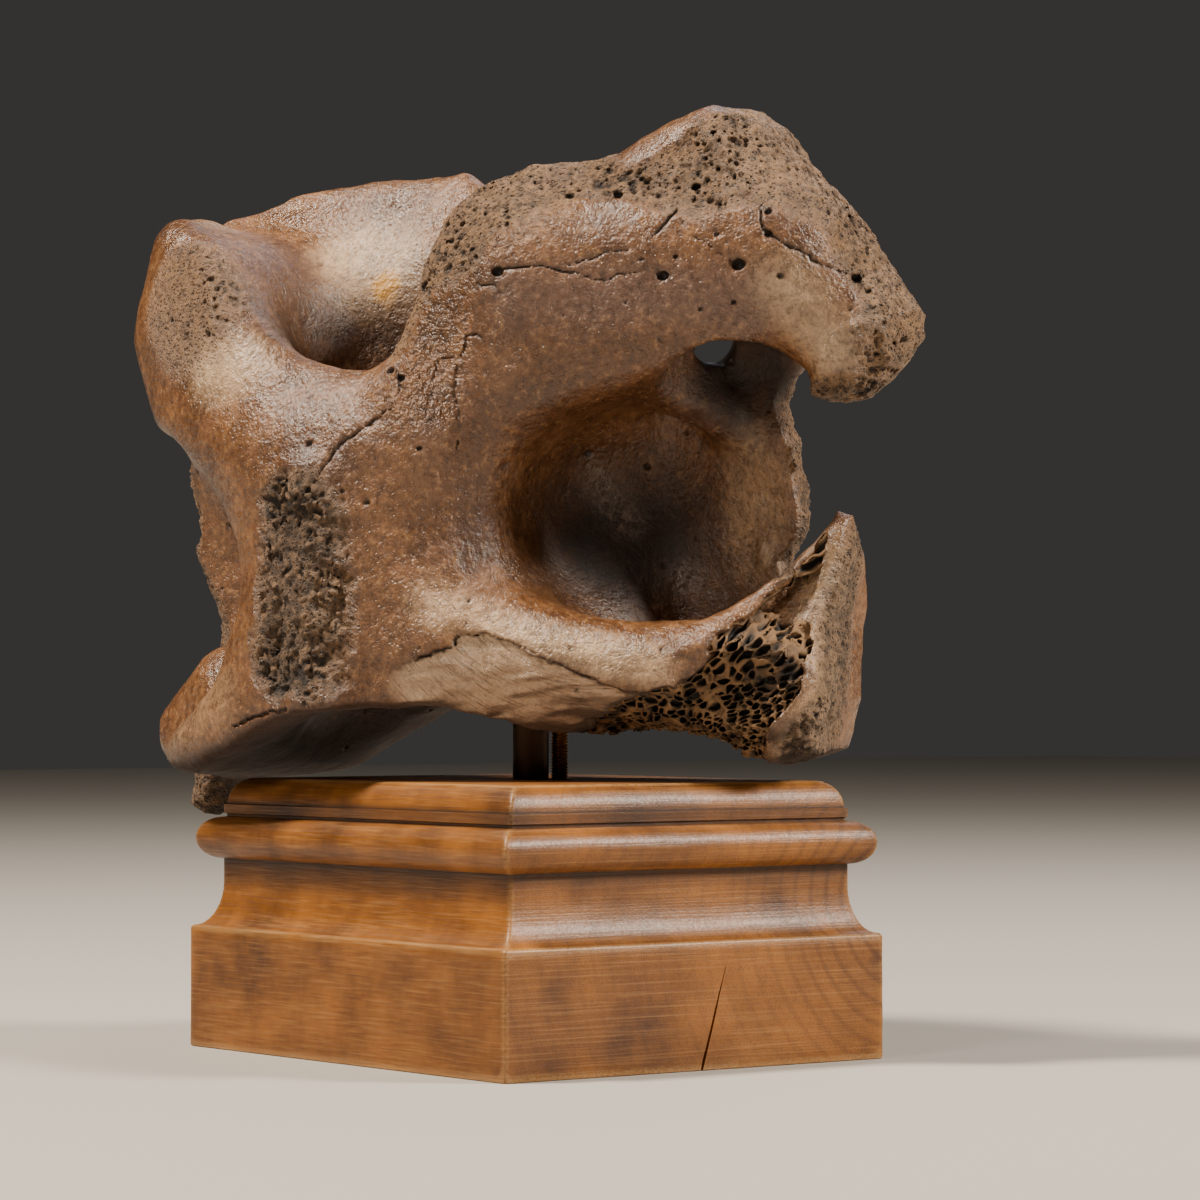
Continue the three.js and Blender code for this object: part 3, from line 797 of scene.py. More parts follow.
def porous_zone(p):
    """1 where the skin is porous: the brow, the wing's corner and the far cup."""
    x, y, z = p
    brow = zone(outline(x, z, POROUS) + 1.4 * cloud(p, 5, 33) + 0.7 * cloud(p, 2, 36), 2.6)
    brow = brow * np.clip((25 - y) / 8 + 0.4 * cloud(p, 6, 37), 0, 1)
    far_cup = zone(egg(p, (-35, -30, 174), (14, 12, 15)), 8)
    return np.maximum(brow, 0.8 * far_cup)


def tubercle_zone(p):
    """The granular ridge down the middle of the front, where a neck muscle held."""
    x, y, z = p
    off = outline(x, z, TUBERCLE) + 2.0 * cloud(p, 7, 34) + 1.2 * cloud(p, 3, 35)
    return zone(off, 4.5) * (y < -30)


def broken_zone(p):
    """Old breaks: the wing's outer wall and edge, the ragged hook, the stump and its splinter."""
    x, _, z = p
    wall = zone(rod(p, (112, 0, 106), (104, -6, 64), 5, 12), 3)
    edge = zone(-outline(x, z, WING_PLATE) - 1.6, 1.6) * (x > 84) * (x < 101) * (abs(z - 123) < 23)
    stump = zone(-outline(x, z, WING_STUMP) - 2.2, 1.8) * (x < -50) * (abs(z - 125) < 30)
    splinter = zone(rod(p, (-57, 20, 76), (-68, 22, 58), 8, 9), 6)
    hook = zone(egg(p, (112, -2, 139), (9, 14, 4.5)), 3)
    return np.maximum.reduce([wall, edge, stump, splinter, hook])


# Line along which the bone's outer layer has peeled off the shelf.
PEEL = [(14, 85), (18, 87), (22, 88.5), (27, 90), (31, 91), (32.5, 93.8), (38, 93), (43, 91),
        (50, 87), (56, 83.5), (62, 80.5), (68, 77.5), (74, 77), (78, 78.5), (81, 80)]
PEEL_STEP = 1.1


def peeled(p):
    """1 where the outer layer is gone, below the line on the shelf."""
    x, y, z = p
    line = np.interp(x, *zip(*PEEL)) + 0.7 * cloud(p, 2.2, 3) + 0.9 * cloud(p, 6, 4)
    within = np.clip((x - 15) / 4, 0, 1) * np.clip((82 - x) / 2, 0, 1)
    within = within * np.clip((-14 - y) / 3, 0, 1)
    return np.clip((line - z) / 0.6, 0, 1) * within


def drop(p):
    """The pale drop on the wall of the hollow."""
    return zone(egg(p, (85, 13, 106), (1.6, 7, 3.0)), 1.2)


def lumps(p):
    """How far the skin lies below the smooth form, in millimetres, without its pores."""
    porous, tubercle, broken = porous_zone(p), tubercle_zone(p), broken_zone(p)
    low = 0.42 * cloud(p, 17) + 0.28 * cloud(p, 6.5, 1) + 0.15 * cloud(p, 2.6, 2)
    low = low + porous * (0.34 * cloud(p, 4.2, 3) + 0.30 * cloud(p, 1.7, 4))
    low = low + tubercle * (0.60 * cloud(p, (3, 3, 6), 5) + 0.65 * cloud(p, 1.8, 6) + 0.5)
    low = low + 1.6 * zone(egg(p, (-3, -49, 121), (5, 6, 5)), 4)
    low = low + 1.3 * zone(egg(p, (-10, -46, 98), (2.5, 5, 8)), 2.5)
    low = low - 0.5 * drop(p)
    low = low + broken * (0.60 * cloud(p, 3.8, 7) + 0.34 * cloud(p, 1.5, 8))
    bare = peeled(p)
    low = low + bare * (PEEL_STEP + 0.42 * cloud(p, (8, 2.5, 1.1), 9))
    return low + 0.25 + SPONGE_DEPTH * spongy_zone(p)


# Strides through the lattice, so that a cell's place and its own number don't follow each other.
PLACE_STRIDE = 7919
LOT_STRIDE = 104729


def cells(q, salt=0):
    """Scattered points, one in each unit cell: the distances to the nearest two, and the
    nearest one's own number from 0 to 1."""
    low = [np.floor(c) for c in q]
    first = np.full(q[0].shape, 9.0, np.float32)
    second, lot = first.copy(), first.copy()
    last = len(LATTICE) - 1
    for step in np.ndindex(3, 3, 3):
        cell = [c + s - 1 for c, s in zip(low, step)]
        index = 0
        for c in cell:
            index = index * LATTICE_SIDE + (c.astype(np.int32) & LATTICE_SIDE - 1)
        off = 0
        for i in range(3):
            place = LATTICE[(index + PLACE_STRIDE * (i + 1 + salt)) & last]
            off = off + (cell[i] + 0.1 + 0.8 * place - q[i]) ** 2
        nearer = off < first
        second = np.where(nearer, first, np.minimum(second, off))
        lot = np.where(nearer, LATTICE[(index + LOT_STRIDE) & last], lot)
        first = np.minimum(first, off)
    return np.sqrt(first), np.sqrt(second), lot


# Widths of the cells that hold the crowded pores, the wider ones and the seams between grains.
PORE_CELL = 1.65
WIDE_PORE_CELL = 3.3
SEAM_CELL = 2.2


def pores(p):
    """Depth of the crowded pores in porous, granular and broken bone, in millimetres."""
    depth = np.zeros(p.shape[1], np.float32)
    porous, tubercle, broken = porous_zone(p), tubercle_zone(p), broken_zone(p)
    here = np.maximum.reduce([porous, tubercle, broken]) > 0.05
    if not here.any():
        return depth
    q = p[:, here]
    bend = np.stack([cloud(q, 2.5, 41 + i) for i in range(3)])
    near, _, lot = cells([c / PORE_CELL for c in q + 0.45 * bend], 1)
    crowd = 0.74 + 0.36 * cloud(q, 13, 44)
    round_pits = np.clip((0.28 + 0.33 * lot) * crowd * 1.25 - near, 0, 0.3) * 3.4
    near, _, lot = cells([c / WIDE_PORE_CELL for c in q + 0.6 * bend], 7)
    round_pits = np.maximum(round_pits, np.clip(0.36 * (lot > 0.3) * crowd - near, 0, 0.2) * 7)
    near, next_near, _ = cells([c / SEAM_CELL for c in q + 1.3 * bend], 5)
    seams = np.clip(0.34 - (next_near - near), 0, 0.3) * 3.2
    depth[here] = (
        porous[here] * round_pits + tubercle[here] * (0.6 * seams + 0.8 * round_pits)
        + broken[here] * (0.4 * round_pits + 0.35 * seams))
    return depth


def in_chunks(shape, p):
    """The field of many points, worked out a handful at a time."""
    chunks = np.array_split(p, max(1, p.shape[1] // 60000), axis=1)
    with ThreadPoolExecutor(4) as pool:
        return np.concatenate(list(pool.map(shape, chunks)))


def sampled(shape, low, high, cell, band):
    """A fine grid of a field, worked out in full only near its surface."""
    step = cell * COARSENESS
    axes = [np.arange(a, b + step, step, dtype=np.float32) for a, b in zip(low, high)]
    corners = np.stack(np.meshgrid(*axes, indexing="ij")).reshape(3, -1)
    rough_grid = in_chunks(shape, corners).reshape([len(a) for a in axes])
    near = np.abs(rough_grid) < band
    active = np.zeros([n - 1 for n in near.shape], bool)
    for i, j, k in np.ndindex(2, 2, 2):
        active |= near[i:i + active.shape[0], j:j + active.shape[1], k:k + active.shape[2]]
    grid = rough_grid[:-1, :-1, :-1]
    for axis in range(3):
        grid = np.repeat(grid, COARSENESS, axis)
        active = np.repeat(active, COARSENESS, axis)
    grid = np.ascontiguousarray(grid, np.float32)
    index = np.flatnonzero(active)
    where = np.stack(np.unravel_index(index, grid.shape)).astype(np.float32)
    fine = where * np.float32(cell) + np.asarray(low, np.float32)[:, None]
    grid.ravel()[index] = in_chunks(shape, fine)
    return grid


def skin(grid, low, cell):
    """Surface nets: a point in each cell that the surface crosses and a quad round each edge."""
    inside = grid < 0
    count = np.zeros([n - 1 for n in grid.shape], np.int8)
    for i, j, k in np.ndindex(2, 2, 2):
        count += inside[i:i + count.shape[0], j:j + count.shape[1], k:k + count.shape[2]]
    crossed = (count > 0) & (count < 8)
    cells = np.argwhere(crossed)
    number = np.full(crossed.shape, -1, np.int32)
    number[crossed] = np.arange(len(cells))
    total = np.zeros((len(cells), 3))
    crossings = np.zeros(len(cells))
    for axis in range(3):
        unit = np.eye(3, dtype=int)[axis]
        for corner in np.ndindex(2, 2, 2):
            if corner[axis]:
                continue
            start = cells + corner
            a = grid[tuple(start.T)]
            b = grid[tuple((start + unit).T)]
            hit = (a < 0) != (b < 0)
            share = a[hit] / (a[hit] - b[hit])
            total[hit] += start[hit] + unit * share[:, None]
            crossings[hit] += 1
    points = total / crossings[:, None] * cell + low
    quads = []
    for axis in range(3):
        one, two = np.eye(3, dtype=int)[(axis + 1) % 3], np.eye(3, dtype=int)[(axis + 2) % 3]
        first = [slice(1, n - 1) for n in grid.shape]
        second = list(first)
        first[axis] = slice(0, grid.shape[axis] - 1)
        second[axis] = slice(1, grid.shape[axis])
        a, b = inside[tuple(first)], inside[tuple(second)]
        for leaving in (True, False):
            edge = np.argwhere(a & ~b if leaving else b & ~a)
            edge += one + two
            ring = [edge - one - two, edge - two, edge, edge - one]
            if not leaving:
                ring.reverse()
            quads.append(np.stack([number[tuple(c.T)] for c in ring], 1))
    return points, np.concatenate(quads)


toward = math.radians(LEAN_HEADING)
lean = Matrix.Rotation(
    math.radians(BONE_LEAN), 3, Vector((math.sin(toward), -math.cos(toward), 0)))
bone_axes = np.array(lean @ Matrix.Rotation(math.radians(BONE_TURN), 3, "Z"))


def as_mesh(name, points, quads):
    """A smooth-shaded mesh of the bone's own millimetres, set in its place on the plinth."""
    placed = (points - BONE_MIDDLE) @ bone_axes.T + BONE_AT
    mesh = bpy.data.meshes.new(name)
    mesh.vertices.add(len(placed))
    mesh.vertices.foreach_set("co", (placed * MM).astype(np.float32).ravel())
    mesh.loops.add(quads.size)
    mesh.loops.foreach_set("vertex_index", quads.astype(np.int32).ravel())
    mesh.polygons.add(len(quads))
    mesh.polygons.foreach_set("loop_start", np.arange(0, quads.size, 4, dtype=np.int32))
    mesh.polygons.foreach_set("use_smooth", np.ones(len(quads), bool))
    mesh.update(calc_edges=True)
    return mesh


def thinned(obj, triangles):
    """The object with its flat stretches in fewer, larger triangles."""
    collapse = obj.modifiers.new("collapse", "DECIMATE")
    collapse.ratio = min(1, triangles / (2 * len(obj.data.polygons)))
    applied(obj)
    obj.data.shade_smooth()
    return obj


def in_bone_frame(mesh):
    """The vertices of a placed mesh, back in the bone's own frame."""
    out = (places(mesh).T - BONE_AT) @ bone_axes + BONE_MIDDLE
    return out.T.astype(np.float32)


DRAWN_BAND = 14 * MM
CLEARANCE = 0.1 * MM


def drawn_in(mesh, low, high):
    """Draws a mesh's farthest tips in until it lies within a box, which is in metres."""
    placed = places(mesh).T * MM
    for axis in range(3):
        for limit, sign in ((-low[axis], -1), (high[axis], 1)):
            reach = placed[:, axis] * sign
            if reach.max() <= limit:
                continue
            start = reach.max() - DRAWN_BAND
            share = (limit - CLEARANCE - start) / DRAWN_BAND
            reach = np.where(reach > start, start + (reach - start) * share, reach)
            placed[:, axis] = reach * sign
    mesh.vertices.foreach_set("co", placed.astype(np.float32).ravel())
    mesh.update()


def surface(p):
    """The bone with its relief and pores."""
    return vertebra(p) + lumps(p) + pores(p)


bone_grid = sampled(surface, GRID_LOW, GRID_HIGH, CELL, 3.0)


def carve(grid, low, cell, middle, radii):
    """Takes a small egg out of a grid."""
    radii = np.asarray(radii, float)
    first = np.maximum(np.floor((middle - radii - low) / cell).astype(int) - 1, 0)
    last = np.minimum(np.ceil((middle + radii - low) / cell).astype(int) + 2, grid.shape)
    q = [(low[i] + cell * np.arange(first[i], last[i]) - middle[i]) / radii[i] for i in range(3)]
    near = np.sqrt(q[0][:, None, None] ** 2 + q[1][None, :, None] ** 2 + q[2][None, None, :] ** 2)
    window = grid[first[0]:last[0], first[1]:last[1], first[2]:last[2]]
    np.maximum(window, (1 - near) * radii.min(), out=window)


def front_of(grid, xs, zs):
    """The y at which a line of sight toward +y first meets the bone, for each x and z."""
    column = np.round((xs - GRID_LOW[0]) / CELL).astype(int)
    row = np.round((zs - GRID_LOW[2]) / CELL).astype(int)
    return np.argmax(grid[column, :, row] < 0, axis=1) * CELL + GRID_LOW[1]


# Pits that stand out, as radius, x and z: the mouths of small vessels. The rest are scattered.
PITS = [
    (1.2, 81, 168), (1.4, 97, 169), (0.9, 104, 175), (1.1, 120, 164), (0.9, 104, 180),
    (0.6, 95, 161), (0.6, 88, 160), (0.6, 93, 176), (0.55, 84, 172), (0.55, 77, 172),
    (1.2, 47, 172), (0.9, 19, 153), (0.9, 22, 151), (0.6, 14, 124), (0.6, 9, 127), (0.6, 26, 135),
    (0.9, -10, 114), (1.0, 71, 187), (0.8, 60, 188), (1.0, 88, 187), (0.8, 80, 186),
]
SCATTERED_PITS = 380
draw = np.random.default_rng(5)
radii, xs, zs = np.array(PITS).T
for size, spot in zip(radii, np.stack([xs, front_of(bone_grid, xs, zs), zs], 1)):
    carve(bone_grid, GRID_LOW, CELL, spot, (size * 1.15, size * 1.3, size * 0.9))
near_skin = np.argwhere(np.abs(bone_grid) < 0.2)
near_skin = near_skin[draw.permutation(len(near_skin))[:SCATTERED_PITS]] * CELL + GRID_LOW
for spot in near_skin:
    size = 0.33 + 0.45 * draw.random() ** 4
    carve(bone_grid, GRID_LOW, CELL, spot, size * (1 + 0.5 * draw.random(3)))

# Cracks, each as its width and the points in x and z that it passes on the viewer's side.
CRACKS = [
    (0.26, [(48, 172.6), (53, 172.3), (58, 172), (61, 171), (64, 170)]),
    (0.20, [(64, 170), (67, 168.3), (72, 169), (79, 169.3)]),
    (0.17, [(62, 172), (67, 173), (71, 174), (75, 174.6)]),
    (0.36, [(79.6, 176.6), (81.3, 178.3), (82.5, 179.7), (84.5, 182)]),
    (0.17, [(88, 176), (91, 173.6), (96, 169.5)]),
    (0.27, [(102, 182), (102.5, 177.5), (104, 175), (106.5, 173)]),
    (0.30, [(106.5, 173), (111, 170), (114, 167.5)]),
    (0.31, [(114, 167.5), (117, 165.8), (121, 164.5)]),
    (0.20, [(41, 171), (43, 169.5), (46, 169), (47.3, 167)]),
    (0.27, [(42, 157.5), (40, 159), (37.5, 158.5), (36.7, 156), (35, 154)]),
    (0.19, [(35, 154), (33, 155), (30, 154), (28.5, 149), (29, 143)]),
    (0.19, [(34.5, 153), (33.6, 147), (34.4, 141), (33, 134)]),
    (0.27, [(21, 155), (21, 152), (22, 148.5)]),
    (0.33, [(20, 144.5), (18, 143), (14, 140.6)]),
    (0.27, [(14, 140.6), (9, 138), (6, 133.6), (3, 129)]),
    (0.19, [(46, 136), (41, 129), (38.5, 121), (38, 113), (40, 105), (45, 99)]),
    (0.27, [(-26, 77), (-18, 79), (-8, 80)]),
    (0.27, [(22, 88.2), (27, 89.8), (31, 91), (32.5, 93.6), (38, 93), (43, 91)]),
    (0.19, [(43, 91), (50, 87), (56, 83.5), (62, 80.5)]),
]
CRACK_DEPTH = 0.8
CRACK_STEP = 0.28
for width, route in CRACKS:
    at = np.concatenate([[0], np.cumsum(np.hypot(*np.diff(np.array(route, float), axis=0).T))])
    steps = np.arange(0, at[-1], CRACK_STEP)
    xs = np.interp(steps, at, [p[0] for p in route])
    zs = np.interp(steps, at, [p[1] for p in route])
    along = np.stack([xs, 0 * xs, zs])
    xs = xs + 0.4 * cloud(along, 2.6, 11) + 0.25 * cloud(along, 0.9, 14)
    zs = zs + 0.4 * cloud(along, 2.6, 12) + 0.25 * cloud(along, 0.9, 15)
    ends = np.clip(np.minimum(steps, at[-1] - steps) / 3 + 0.6, 0, 1)
    thick = width * ends * (1 + 0.35 * cloud(along, 3, 13))
    depth = front_of(bone_grid, xs, zs)
    for spot, half in zip(np.stack([xs, depth, zs], 1), thick):
        carve(bone_grid, GRID_LOW, CELL, spot, (half, CRACK_DEPTH, half))

points, quads = skin(bone_grid, GRID_LOW, CELL)
del bone_grid
bone = thinned(new_object("bison_atlas_bone", as_mesh("bone", points, quads)), TRIANGLES)
facing = np.empty(3 * len(bone.data.vertices), np.float32)
bone.data.vertices.foreach_get("normal", facing)
downward = -facing.reshape(-1, 3)[:, 2]

# Skin creased like leather, up the left of the brow and over the near cup, as an outline.
CRINKLED = [(14, 148), (22, 158), (30, 172), (36, 186), (50, 192), (62, 190), (60, 182), (50, 176),
            (41, 168), (36, 152), (31, 138), (24, 138)]

# Marks for the material: how deep a point lies under the skin, the zones, stains, painted shade
# and painted highlights, and the lie of the grain, which runs round the bowl under the wing.
p = in_bone_frame(bone.data)
BOWL_MIDDLE = (65, 117)
reach = np.hypot(p[0] - BOWL_MIDDLE[0], p[2] - BOWL_MIDDLE[1])
heading = np.arctan2(p[2] - BOWL_MIDDLE[1], p[0] - BOWL_MIDDLE[0])
marks = {
    # Darker the deeper the skin lies: dirt in the pores and painted shade in the pits.
    "pit_dirt_and_shade": np.clip(-(vertebra(p) + lumps(p)) / 0.75, 0, 1),
    "porous": porous_zone(p),
    "granular": tubercle_zone(p),
    "broken": np.maximum(broken_zone(p), 0.8 * spongy_zone(p)),
    "bare": np.maximum(peeled(p), drop(p)),
    # Painted shade, with some real stain, in the bowl, chamber, canal, tubercle pits and
    # underside.
    "shade_and_stain": np.maximum.reduce([
        zone(egg(p, (53, 6, 112), (17, 18, 15)), 14),
        zone(egg(p, (87, 6, 146), (13, 13, 12)), 7),
        0.4 * zone(egg(p, (-14, 16, 167), (15, 22, 12)), 12),
        0.65 * zone(rod(p, (0, 0, 50), (0, 2, 160), 20, 20), 5),
        0.55 * zone(egg(p, (-3, -48, 121), (6, 6, 6)), 5),
        0.40 * zone(egg(p, (-10, -46, 97), (4, 5, 9)), 5),
        0.75 * zone(egg(p, (-22, -6, 66), (46, 36, 10)), 7),
    ]),
    # Painted shade under the brow, on the pillar, in the bowl, in the valley and under the bone.
    "painted_shade": np.maximum.reduce([
        zone(rod(p, (48, -22, 150), (92, -6, 152), 13, 9), 12),
        0.8 * zone(egg(p, (54, 4, 114), (23, 24, 24)), 8),
        zone(egg(p, (-15, -6, 68), (52, 42, 10)), 5),
        0.8 * zone(rod(p, (38, -38, 148), (40, -36, 122), 6, 7), 8),
        0.9 * zone(rod(p, (-26, -8, 180), (-15, 18, 168), 8, 9), 7),
    ]),
    "lavender": np.maximum.reduce([
        0.9 * zone(rod(p, (50, -36, 167), (98, -18, 162), 6, 7), 7),
        0.8 * zone(egg(p, (76, 1, 138), (5, 9, 9)), 5),
        0.6 * zone(rod(p, (31, -40, 152), (28, -44, 122), 4, 4), 6),
        0.9 * zone(egg(p, (-42, -30, 167), (8, 9, 9)), 7),
    ]),
    # Painted highlights on the tops, and painted light on the shelf, hook, wing wall and plate.
    "painted_highlight": np.maximum.reduce([
        zone(egg(p, (-23, -36, 158), (11, 8, 7)), 8),
        0.9 * zone(egg(p, (-15, 24, 184), (13, 10, 13)), 9),
        0.6 * zone(egg(p, (-38, 0, 199), (9, 14, 5)), 5),
        0.2 * zone(rod(p, (40, -34, 187), (56, -32, 188), 8, 8), 10),
        0.9 * zone(rod(p, (27, -42, 101), (48, -37, 91.5), 4, 4), 7),
        1.0 * zone(rod(p, (48, -37, 91.5), (73, -30, 82), 4, 4), 6),
        0.85 * zone(rod(p, (105, -14, 165), (115, -12, 149), 6, 6), 7),
        0.45 * zone(egg(p, (83, 14, 117), (9, 6, 20)), 5),
        0.35 * zone(rod(p, (-52, -24, 76), (-30, -37, 84), 6, 6), 6),
        0.6 * zone(rod(p, (108, -4, 104), (101, -10, 66), 5, 10), 5),
    ]),
    # Glossier spots in the bowl. Their colour is a painted glint.
    "gloss_and_painted_glint": np.maximum.reduce([
        0.8 * zone(rod(p, (47, 4, 130), (53, 11, 117), 3, 4), 5),
        0.8 * zone(rod(p, (64, 15, 103), (72, 15, 98), 3, 3.5), 4),
        0.5 * zone(egg(p, (42, -9, 106), (3, 5, 3)), 3),
    ]),
    "crinkled": zone(outline(p[0], p[2], CRINKLED) + 1.5 * cloud(p, 5, 51), 5) * (p[1] < 0),
    # Down-facing skin low on the bone: painted shade in its colour, and duller.
    "shaded_underside": np.clip(downward * 2.2 - 0.7, 0, 1) * np.clip((96 - p[2]) / 10, 0, 1),
    "ochre": zone(egg(p, (-10, 23, 178), (3.2, 7, 3.6)), 1.5),
}
for name, values in marks.items():
    mark(bone.data, name, values)
grain = np.stack([reach / 0.5, 5 * np.cos(heading) + p[1] / 7, 5 * np.sin(heading)], 1)
bone.data.attributes.new("grain", "FLOAT_VECTOR", "POINT").data.foreach_set(
    "vector", grain.astype(np.float32).ravel())

# Waxed fossil bone. Minerals have stained it from ochre to umber, and wax gives it a soft gloss
# that glitters on the fine texture. Porous and broken bone is duller, with dirt in its pores.
# Shade in its hollows, creases, pits and underside, and highlights and glints, are painted into
# its colour.
waxed, tree = new_material("waxed_fossil_bone")
place = add(tree, "ShaderNodeTexCoord").outputs["Object"]
(pit_dirt_and_shade, porous, granular, broken, bare, shade_and_stain, painted_shade, lavender, painted_highlight, gloss_and_painted_glint, crinkled, shaded_underside,
 ochre) = (add(tree, "ShaderNodeAttribute", attribute_name=name).outputs["Fac"] for name in marks)
lie = add(tree, "ShaderNodeAttribute", attribute_name="grain").outputs["Vector"]
clouds, patches, mottle, ripples = (
    add(tree, "ShaderNodeTexNoise", {
        "Vector": place, "Scale": 1 / (width * MM), "Detail": detail,
        "Roughness": rough}).outputs["Fac"]
    for width, detail, rough in ((24, 4, 0.6), (8, 5, 0.7), (1.9, 5, 0.78), (1.7, 3, 0.6)))
fibres = add(tree, "ShaderNodeTexNoise", {
    "Vector": lie, "Scale": 1.0, "Detail": 3, "Roughness": 0.6}).outputs["Fac"]
crumbs = add(tree, "ShaderNodeTexVoronoi", {
    "Vector": place, "Scale": 1 / (1.0 * MM)}).outputs["Distance"]

# Colour: umber to ochre, mottled and streaked, then what weather, wear and dirt did to it, and
# painted shade and painted highlights.
tinge = add(tree, "ShaderNodeMapRange", {
    "Value": mottle, "From Min": 0.35, "From Max": 0.65, "To Min": 1.0, "To Max": 0.55}).outputs[0]
painted_highlight_share = add(tree, "ShaderNodeMath", {0: painted_highlight, 1: tinge}, operation="MULTIPLY").outputs[0]
dry = add(tree, "ShaderNodeMath", {0: porous, 1: broken}, operation="MAXIMUM").outputs[0]
dry = add(tree, "ShaderNodeMath", {0: dry, 1: granular}, operation="MAXIMUM").outputs[0]
pale = add(tree, "ShaderNodeMath", {0: painted_highlight, 1: bare}, operation="MAXIMUM").outputs[0]
specked = add(tree, "ShaderNodeMapRange", {
    "Value": pale, "To Min": 0.8, "To Max": 0.35}).outputs[0]
streaky = add(tree, "ShaderNodeMapRange", {
    "Value": bare, "To Min": 0.18, "To Max": 0.5}).outputs[0]
crowd = add(tree, "ShaderNodeMapRange", {
    "Value": dry, "To Min": 0.10, "To Max": 0.85}).outputs[0]
fine_pores = add(tree, "ShaderNodeMapRange", {
    "Value": crumbs, "From Min": 0.12, "From Max": 0.38, "To Min": 1.0, "To Max": 0.0}).outputs[0]
fine_pores = add(tree, "ShaderNodeMath", {
    0: fine_pores, 1: crowd}, operation="MULTIPLY").outputs[0]
colour = layered(tree, srgb("#4b2e19"), [
    (clouds, 0.34, 0.64, 0, 1, None, "#7b5330"),
    (patches, 0.50, 0.72, 0, 0.65, None, "#946440"),
    (patches, 0.46, 0.28, 0, 0.55, None, "#4f3322"),
    # Painted shade under the brow and in the hollows.
    (painted_shade, 0, 1, 0, 0.7, None, "#42240f"),
    (lavender, 0, 1, 0, 1, tinge, "#6a5044"),
    # Painted highlights.
    (patches, 0.3, 0.6, 0.45, 1, painted_highlight_share, "#d2b38f"),
    (dry, 0, 1, 0, 0.6, None, "#a9835a"),
    (patches, 0.46, 0.62, 0, 0.6, dry, "#54402c"),
    (bare, 0, 1, 0, 0.92, None, "#cdaf90"),
    (ochre, 0, 1, 0, 1, None, "#d6992f"),
    (mottle, 0.49, 0.66, 0, specked, None, "#3a2211"),
    (mottle, 0.46, 0.30, 0, 0.5, None, "#bd9062"),
    (fibres, 0.52, 0.68, 0, streaky, None, "#45291a"),
    (fine_pores, 0, 1, 0, 1, None, "#26170d"),
    # Painted shade, with some real stain, in the hollows and under the bone.
    (patches, 0.25, 0.7, 1, 0.75, shade_and_stain, "#150b06"),
    # Painted shade in the creases of the crinkled skin.
    (ripples, 0.46, 0.34, 0, 0.6, crinkled, "#3a2413"),
    # Painted glints on the glossier spots.
    (mottle, 0.44, 0.60, 0, 1, gloss_and_painted_glint, "#7d6a5c"),
    # Painted shade on the underside.
    (shaded_underside, 0, 1, 0, 0.85, None, "#241106"),
    # Dirt and painted shade, darker the deeper the pits.
    (pit_dirt_and_shade, 0, 1, 0, 0.93, None, "#140c07"),
])

# Gloss and fine relief.
rough = add(tree, "ShaderNodeMapRange", {
    "Value": patches, "From Min": 0.3, "From Max": 0.7, "To Min": 0.20, "To Max": 0.40}).outputs[0]
for mark_read, duller in ((dry, 0.24), (pit_dirt_and_shade, 0.3), (shade_and_stain, 0.4), (gloss_and_painted_glint, -0.4), (shaded_underside, 0.6)):
    rough = add(tree, "ShaderNodeMath", {
        0: mark_read, 1: duller, 2: rough}, operation="MULTIPLY_ADD").outputs[0]
combed = add(tree, "ShaderNodeMapRange", {
    "Value": bare, "To Min": 0.12, "To Max": 0.9}).outputs[0]
streaks = add(tree, "ShaderNodeMath", {0: fibres, 1: combed}, operation="MULTIPLY").outputs[0]
grit = add(tree, "ShaderNodeMapRange", {
    "Value": dry, "To Min": -0.28, "To Max": -2.0}).outputs[0]
height = add(tree, "ShaderNodeMath", {
    0: mottle, 1: grit, 2: streaks}, operation="MULTIPLY_ADD").outputs[0]
rippling = add(tree, "ShaderNodeMapRange", {
    "Value": crinkled, "To Min": 0.55, "To Max": 2.0}).outputs[0]
height = add(tree, "ShaderNodeMath", {
    0: ripples, 1: rippling, 2: height}, operation="MULTIPLY_ADD").outputs[0]
height = add(tree, "ShaderNodeMath", {
    0: height, 1: fine_pores}, operation="SUBTRACT").outputs[0]
bump = add(tree, "ShaderNodeBump", {
    "Height": height, "Strength": 1.0, "Distance": 1.0 * MM}).outputs[0]
shader = add(tree, "ShaderNodeBsdfPrincipled", {
    "Base Color": colour, "Roughness": rough, "Normal": bump, "Specular IOR Level": 0.7})
add(tree, "ShaderNodeOutputMaterial", {"Surface": shader.outputs[0]})


bone.data.materials.append(waxed)
solid_low, solid_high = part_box("vertebra")
drawn_in(bone.data, solid_low, solid_high)
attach(bone, "root")
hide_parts("vertebra")


# Spongy bone
# The same bone's inside, laid open where the corner of the shelf broke off: thin walls round
# cells that are long and wide near the lip and small and round below.
SPONGE_CELL = 0.29
SPONGE_LOW = np.array([44.0, -40.0, 56.0])
SPONGE_HIGH = np.array([112.0, 16.0, 114.0])
SPONGE_MIDDLE = (85, -20, 80)
WALL = 0.165
SPONGE_TILT = math.radians(24)

# The cells fan out from a point in front of the break, fully where SPREAD is 1.
FRONT_OF_BREAK = (85, -75, 60)
TO_BREAK = 55
SPREAD = 0.62


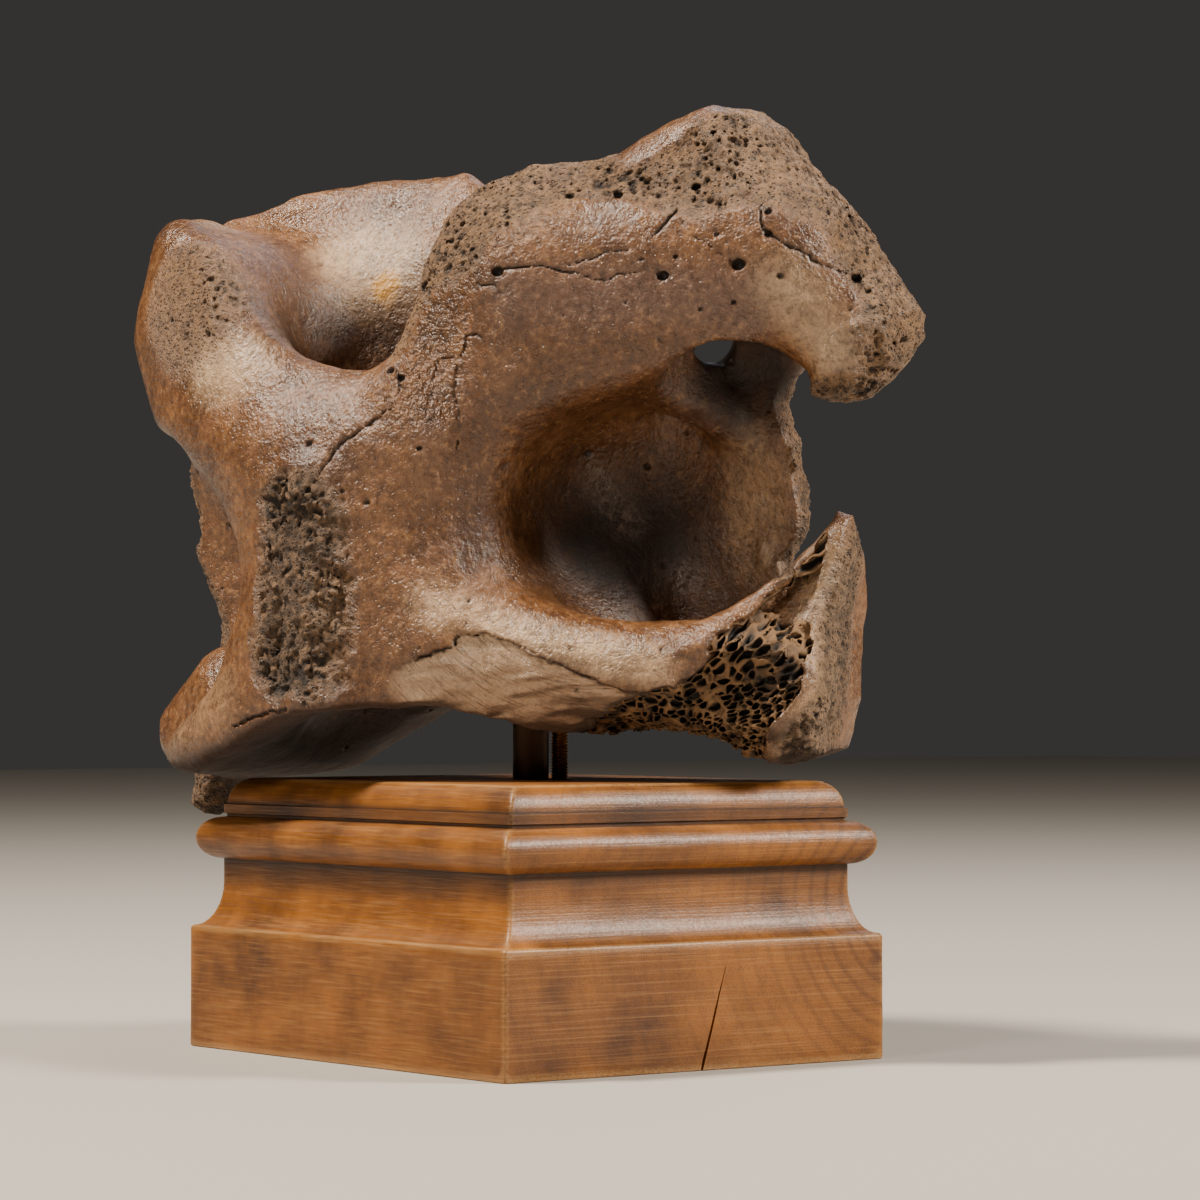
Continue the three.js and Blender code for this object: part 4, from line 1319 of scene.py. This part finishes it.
def sponge(p):
    """Walls between cells that open toward a point in front of the break."""
    x, y, z = p
    whole = vertebra(p) + lumps(p) - SPONGE_DEPTH * spongy_zone(p)
    away = [p[i] - FRONT_OF_BREAK[i] for i in range(3)]
    off = np.sqrt(sum(v * v for v in away))
    spread = SPREAD * TO_BREAK / off + (1 - SPREAD)
    u, v, w = (away[i] * spread + FRONT_OF_BREAK[i] - SPONGE_MIDDLE[i] for i in range(3))
    size = np.clip(1.35 + 0.035 * (z - 72), 1.05, 2.3)
    lean_x, lean_z = math.cos(SPONGE_TILT), math.sin(SPONGE_TILT)
    along = u * lean_x + w * lean_z + 0.8 * cloud(p, 2.4, 24)
    across = w * lean_x - u * lean_z + 0.8 * cloud(p, 2.4, 25)
    first, second, lot = cells([along / (size * 1.6), v / (size * 1.7), across / size], 9)
    wall = (second - first - WALL) * size * 0.5
    floor_depth = -whole - (SPONGE_DEPTH - 0.7)
    ragged = 0.2 + 0.35 * cloud(p, 2.0, 22) + 0.4 * cloud(p, 7, 23) + 0.8 * lot
    body = np.maximum.reduce([
        whole + ragged, -whole - SPONGE_DEPTH - 0.6, outline(x, z, SPONGY) - 1.2])
    return np.maximum(body, np.minimum(wall, -floor_depth))


sponge_grid = sampled(sponge, SPONGE_LOW, SPONGE_HIGH, SPONGE_CELL, 2.4)
points, quads = skin(sponge_grid, SPONGE_LOW, SPONGE_CELL)
del sponge_grid
spongy = thinned(new_object("spongy_break", as_mesh("spongy_break", points, quads)), TRIANGLES)
p = in_bone_frame(spongy.data)
deep = -(vertebra(p) + lumps(p)) + SPONGE_DEPTH * spongy_zone(p)
mark(spongy.data, "depth", np.clip(deep / SPONGE_DEPTH, 0, 1))

crumb, tree = new_material("dry_spongy_bone")
place = add(tree, "ShaderNodeTexCoord").outputs["Object"]
grit = add(tree, "ShaderNodeTexNoise", {
    "Vector": place, "Scale": 1 / (0.8 * MM), "Detail": 4, "Roughness": 0.65}).outputs["Fac"]
tint = add(tree, "ShaderNodeTexNoise", {
    "Vector": place, "Scale": 1 / (6 * MM), "Detail": 3}).outputs["Fac"]
colour = add(tree, "ShaderNodeMix", {
    0: tint, 6: srgb("#543a21"), 7: srgb("#8f6c45")}, data_type="RGBA").outputs[2]
flecks = add(tree, "ShaderNodeMapRange", {
    "Value": grit, "From Min": 0.5, "From Max": 0.7, "To Max": 0.5}).outputs[0]
colour = add(tree, "ShaderNodeMix", {
    0: flecks, 6: colour, 7: srgb("#5b3d22")}, data_type="RGBA").outputs[2]
# Painted shade: the deeper in the cells, the darker.
depth = add(tree, "ShaderNodeAttribute", attribute_name="depth").outputs["Fac"]
shade = add(tree, "ShaderNodeMapRange", {
    "Value": depth, "From Min": 0.13, "From Max": 0.38, "To Max": 0.96}).outputs[0]
colour = add(tree, "ShaderNodeMix", {
    0: shade, 6: colour, 7: srgb("#0c0704")}, data_type="RGBA").outputs[2]
bump = add(tree, "ShaderNodeBump", {
    "Height": grit, "Strength": 0.5, "Distance": 0.15 * MM}).outputs[0]
shader = add(tree, "ShaderNodeBsdfPrincipled", {
    "Base Color": colour, "Roughness": 0.72, "Normal": bump})
add(tree, "ShaderNodeOutputMaterial", {"Surface": shader.outputs[0]})
spongy.data.materials.append(crumb)
drawn_in(spongy.data, solid_low, solid_high)
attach(spongy, "root")
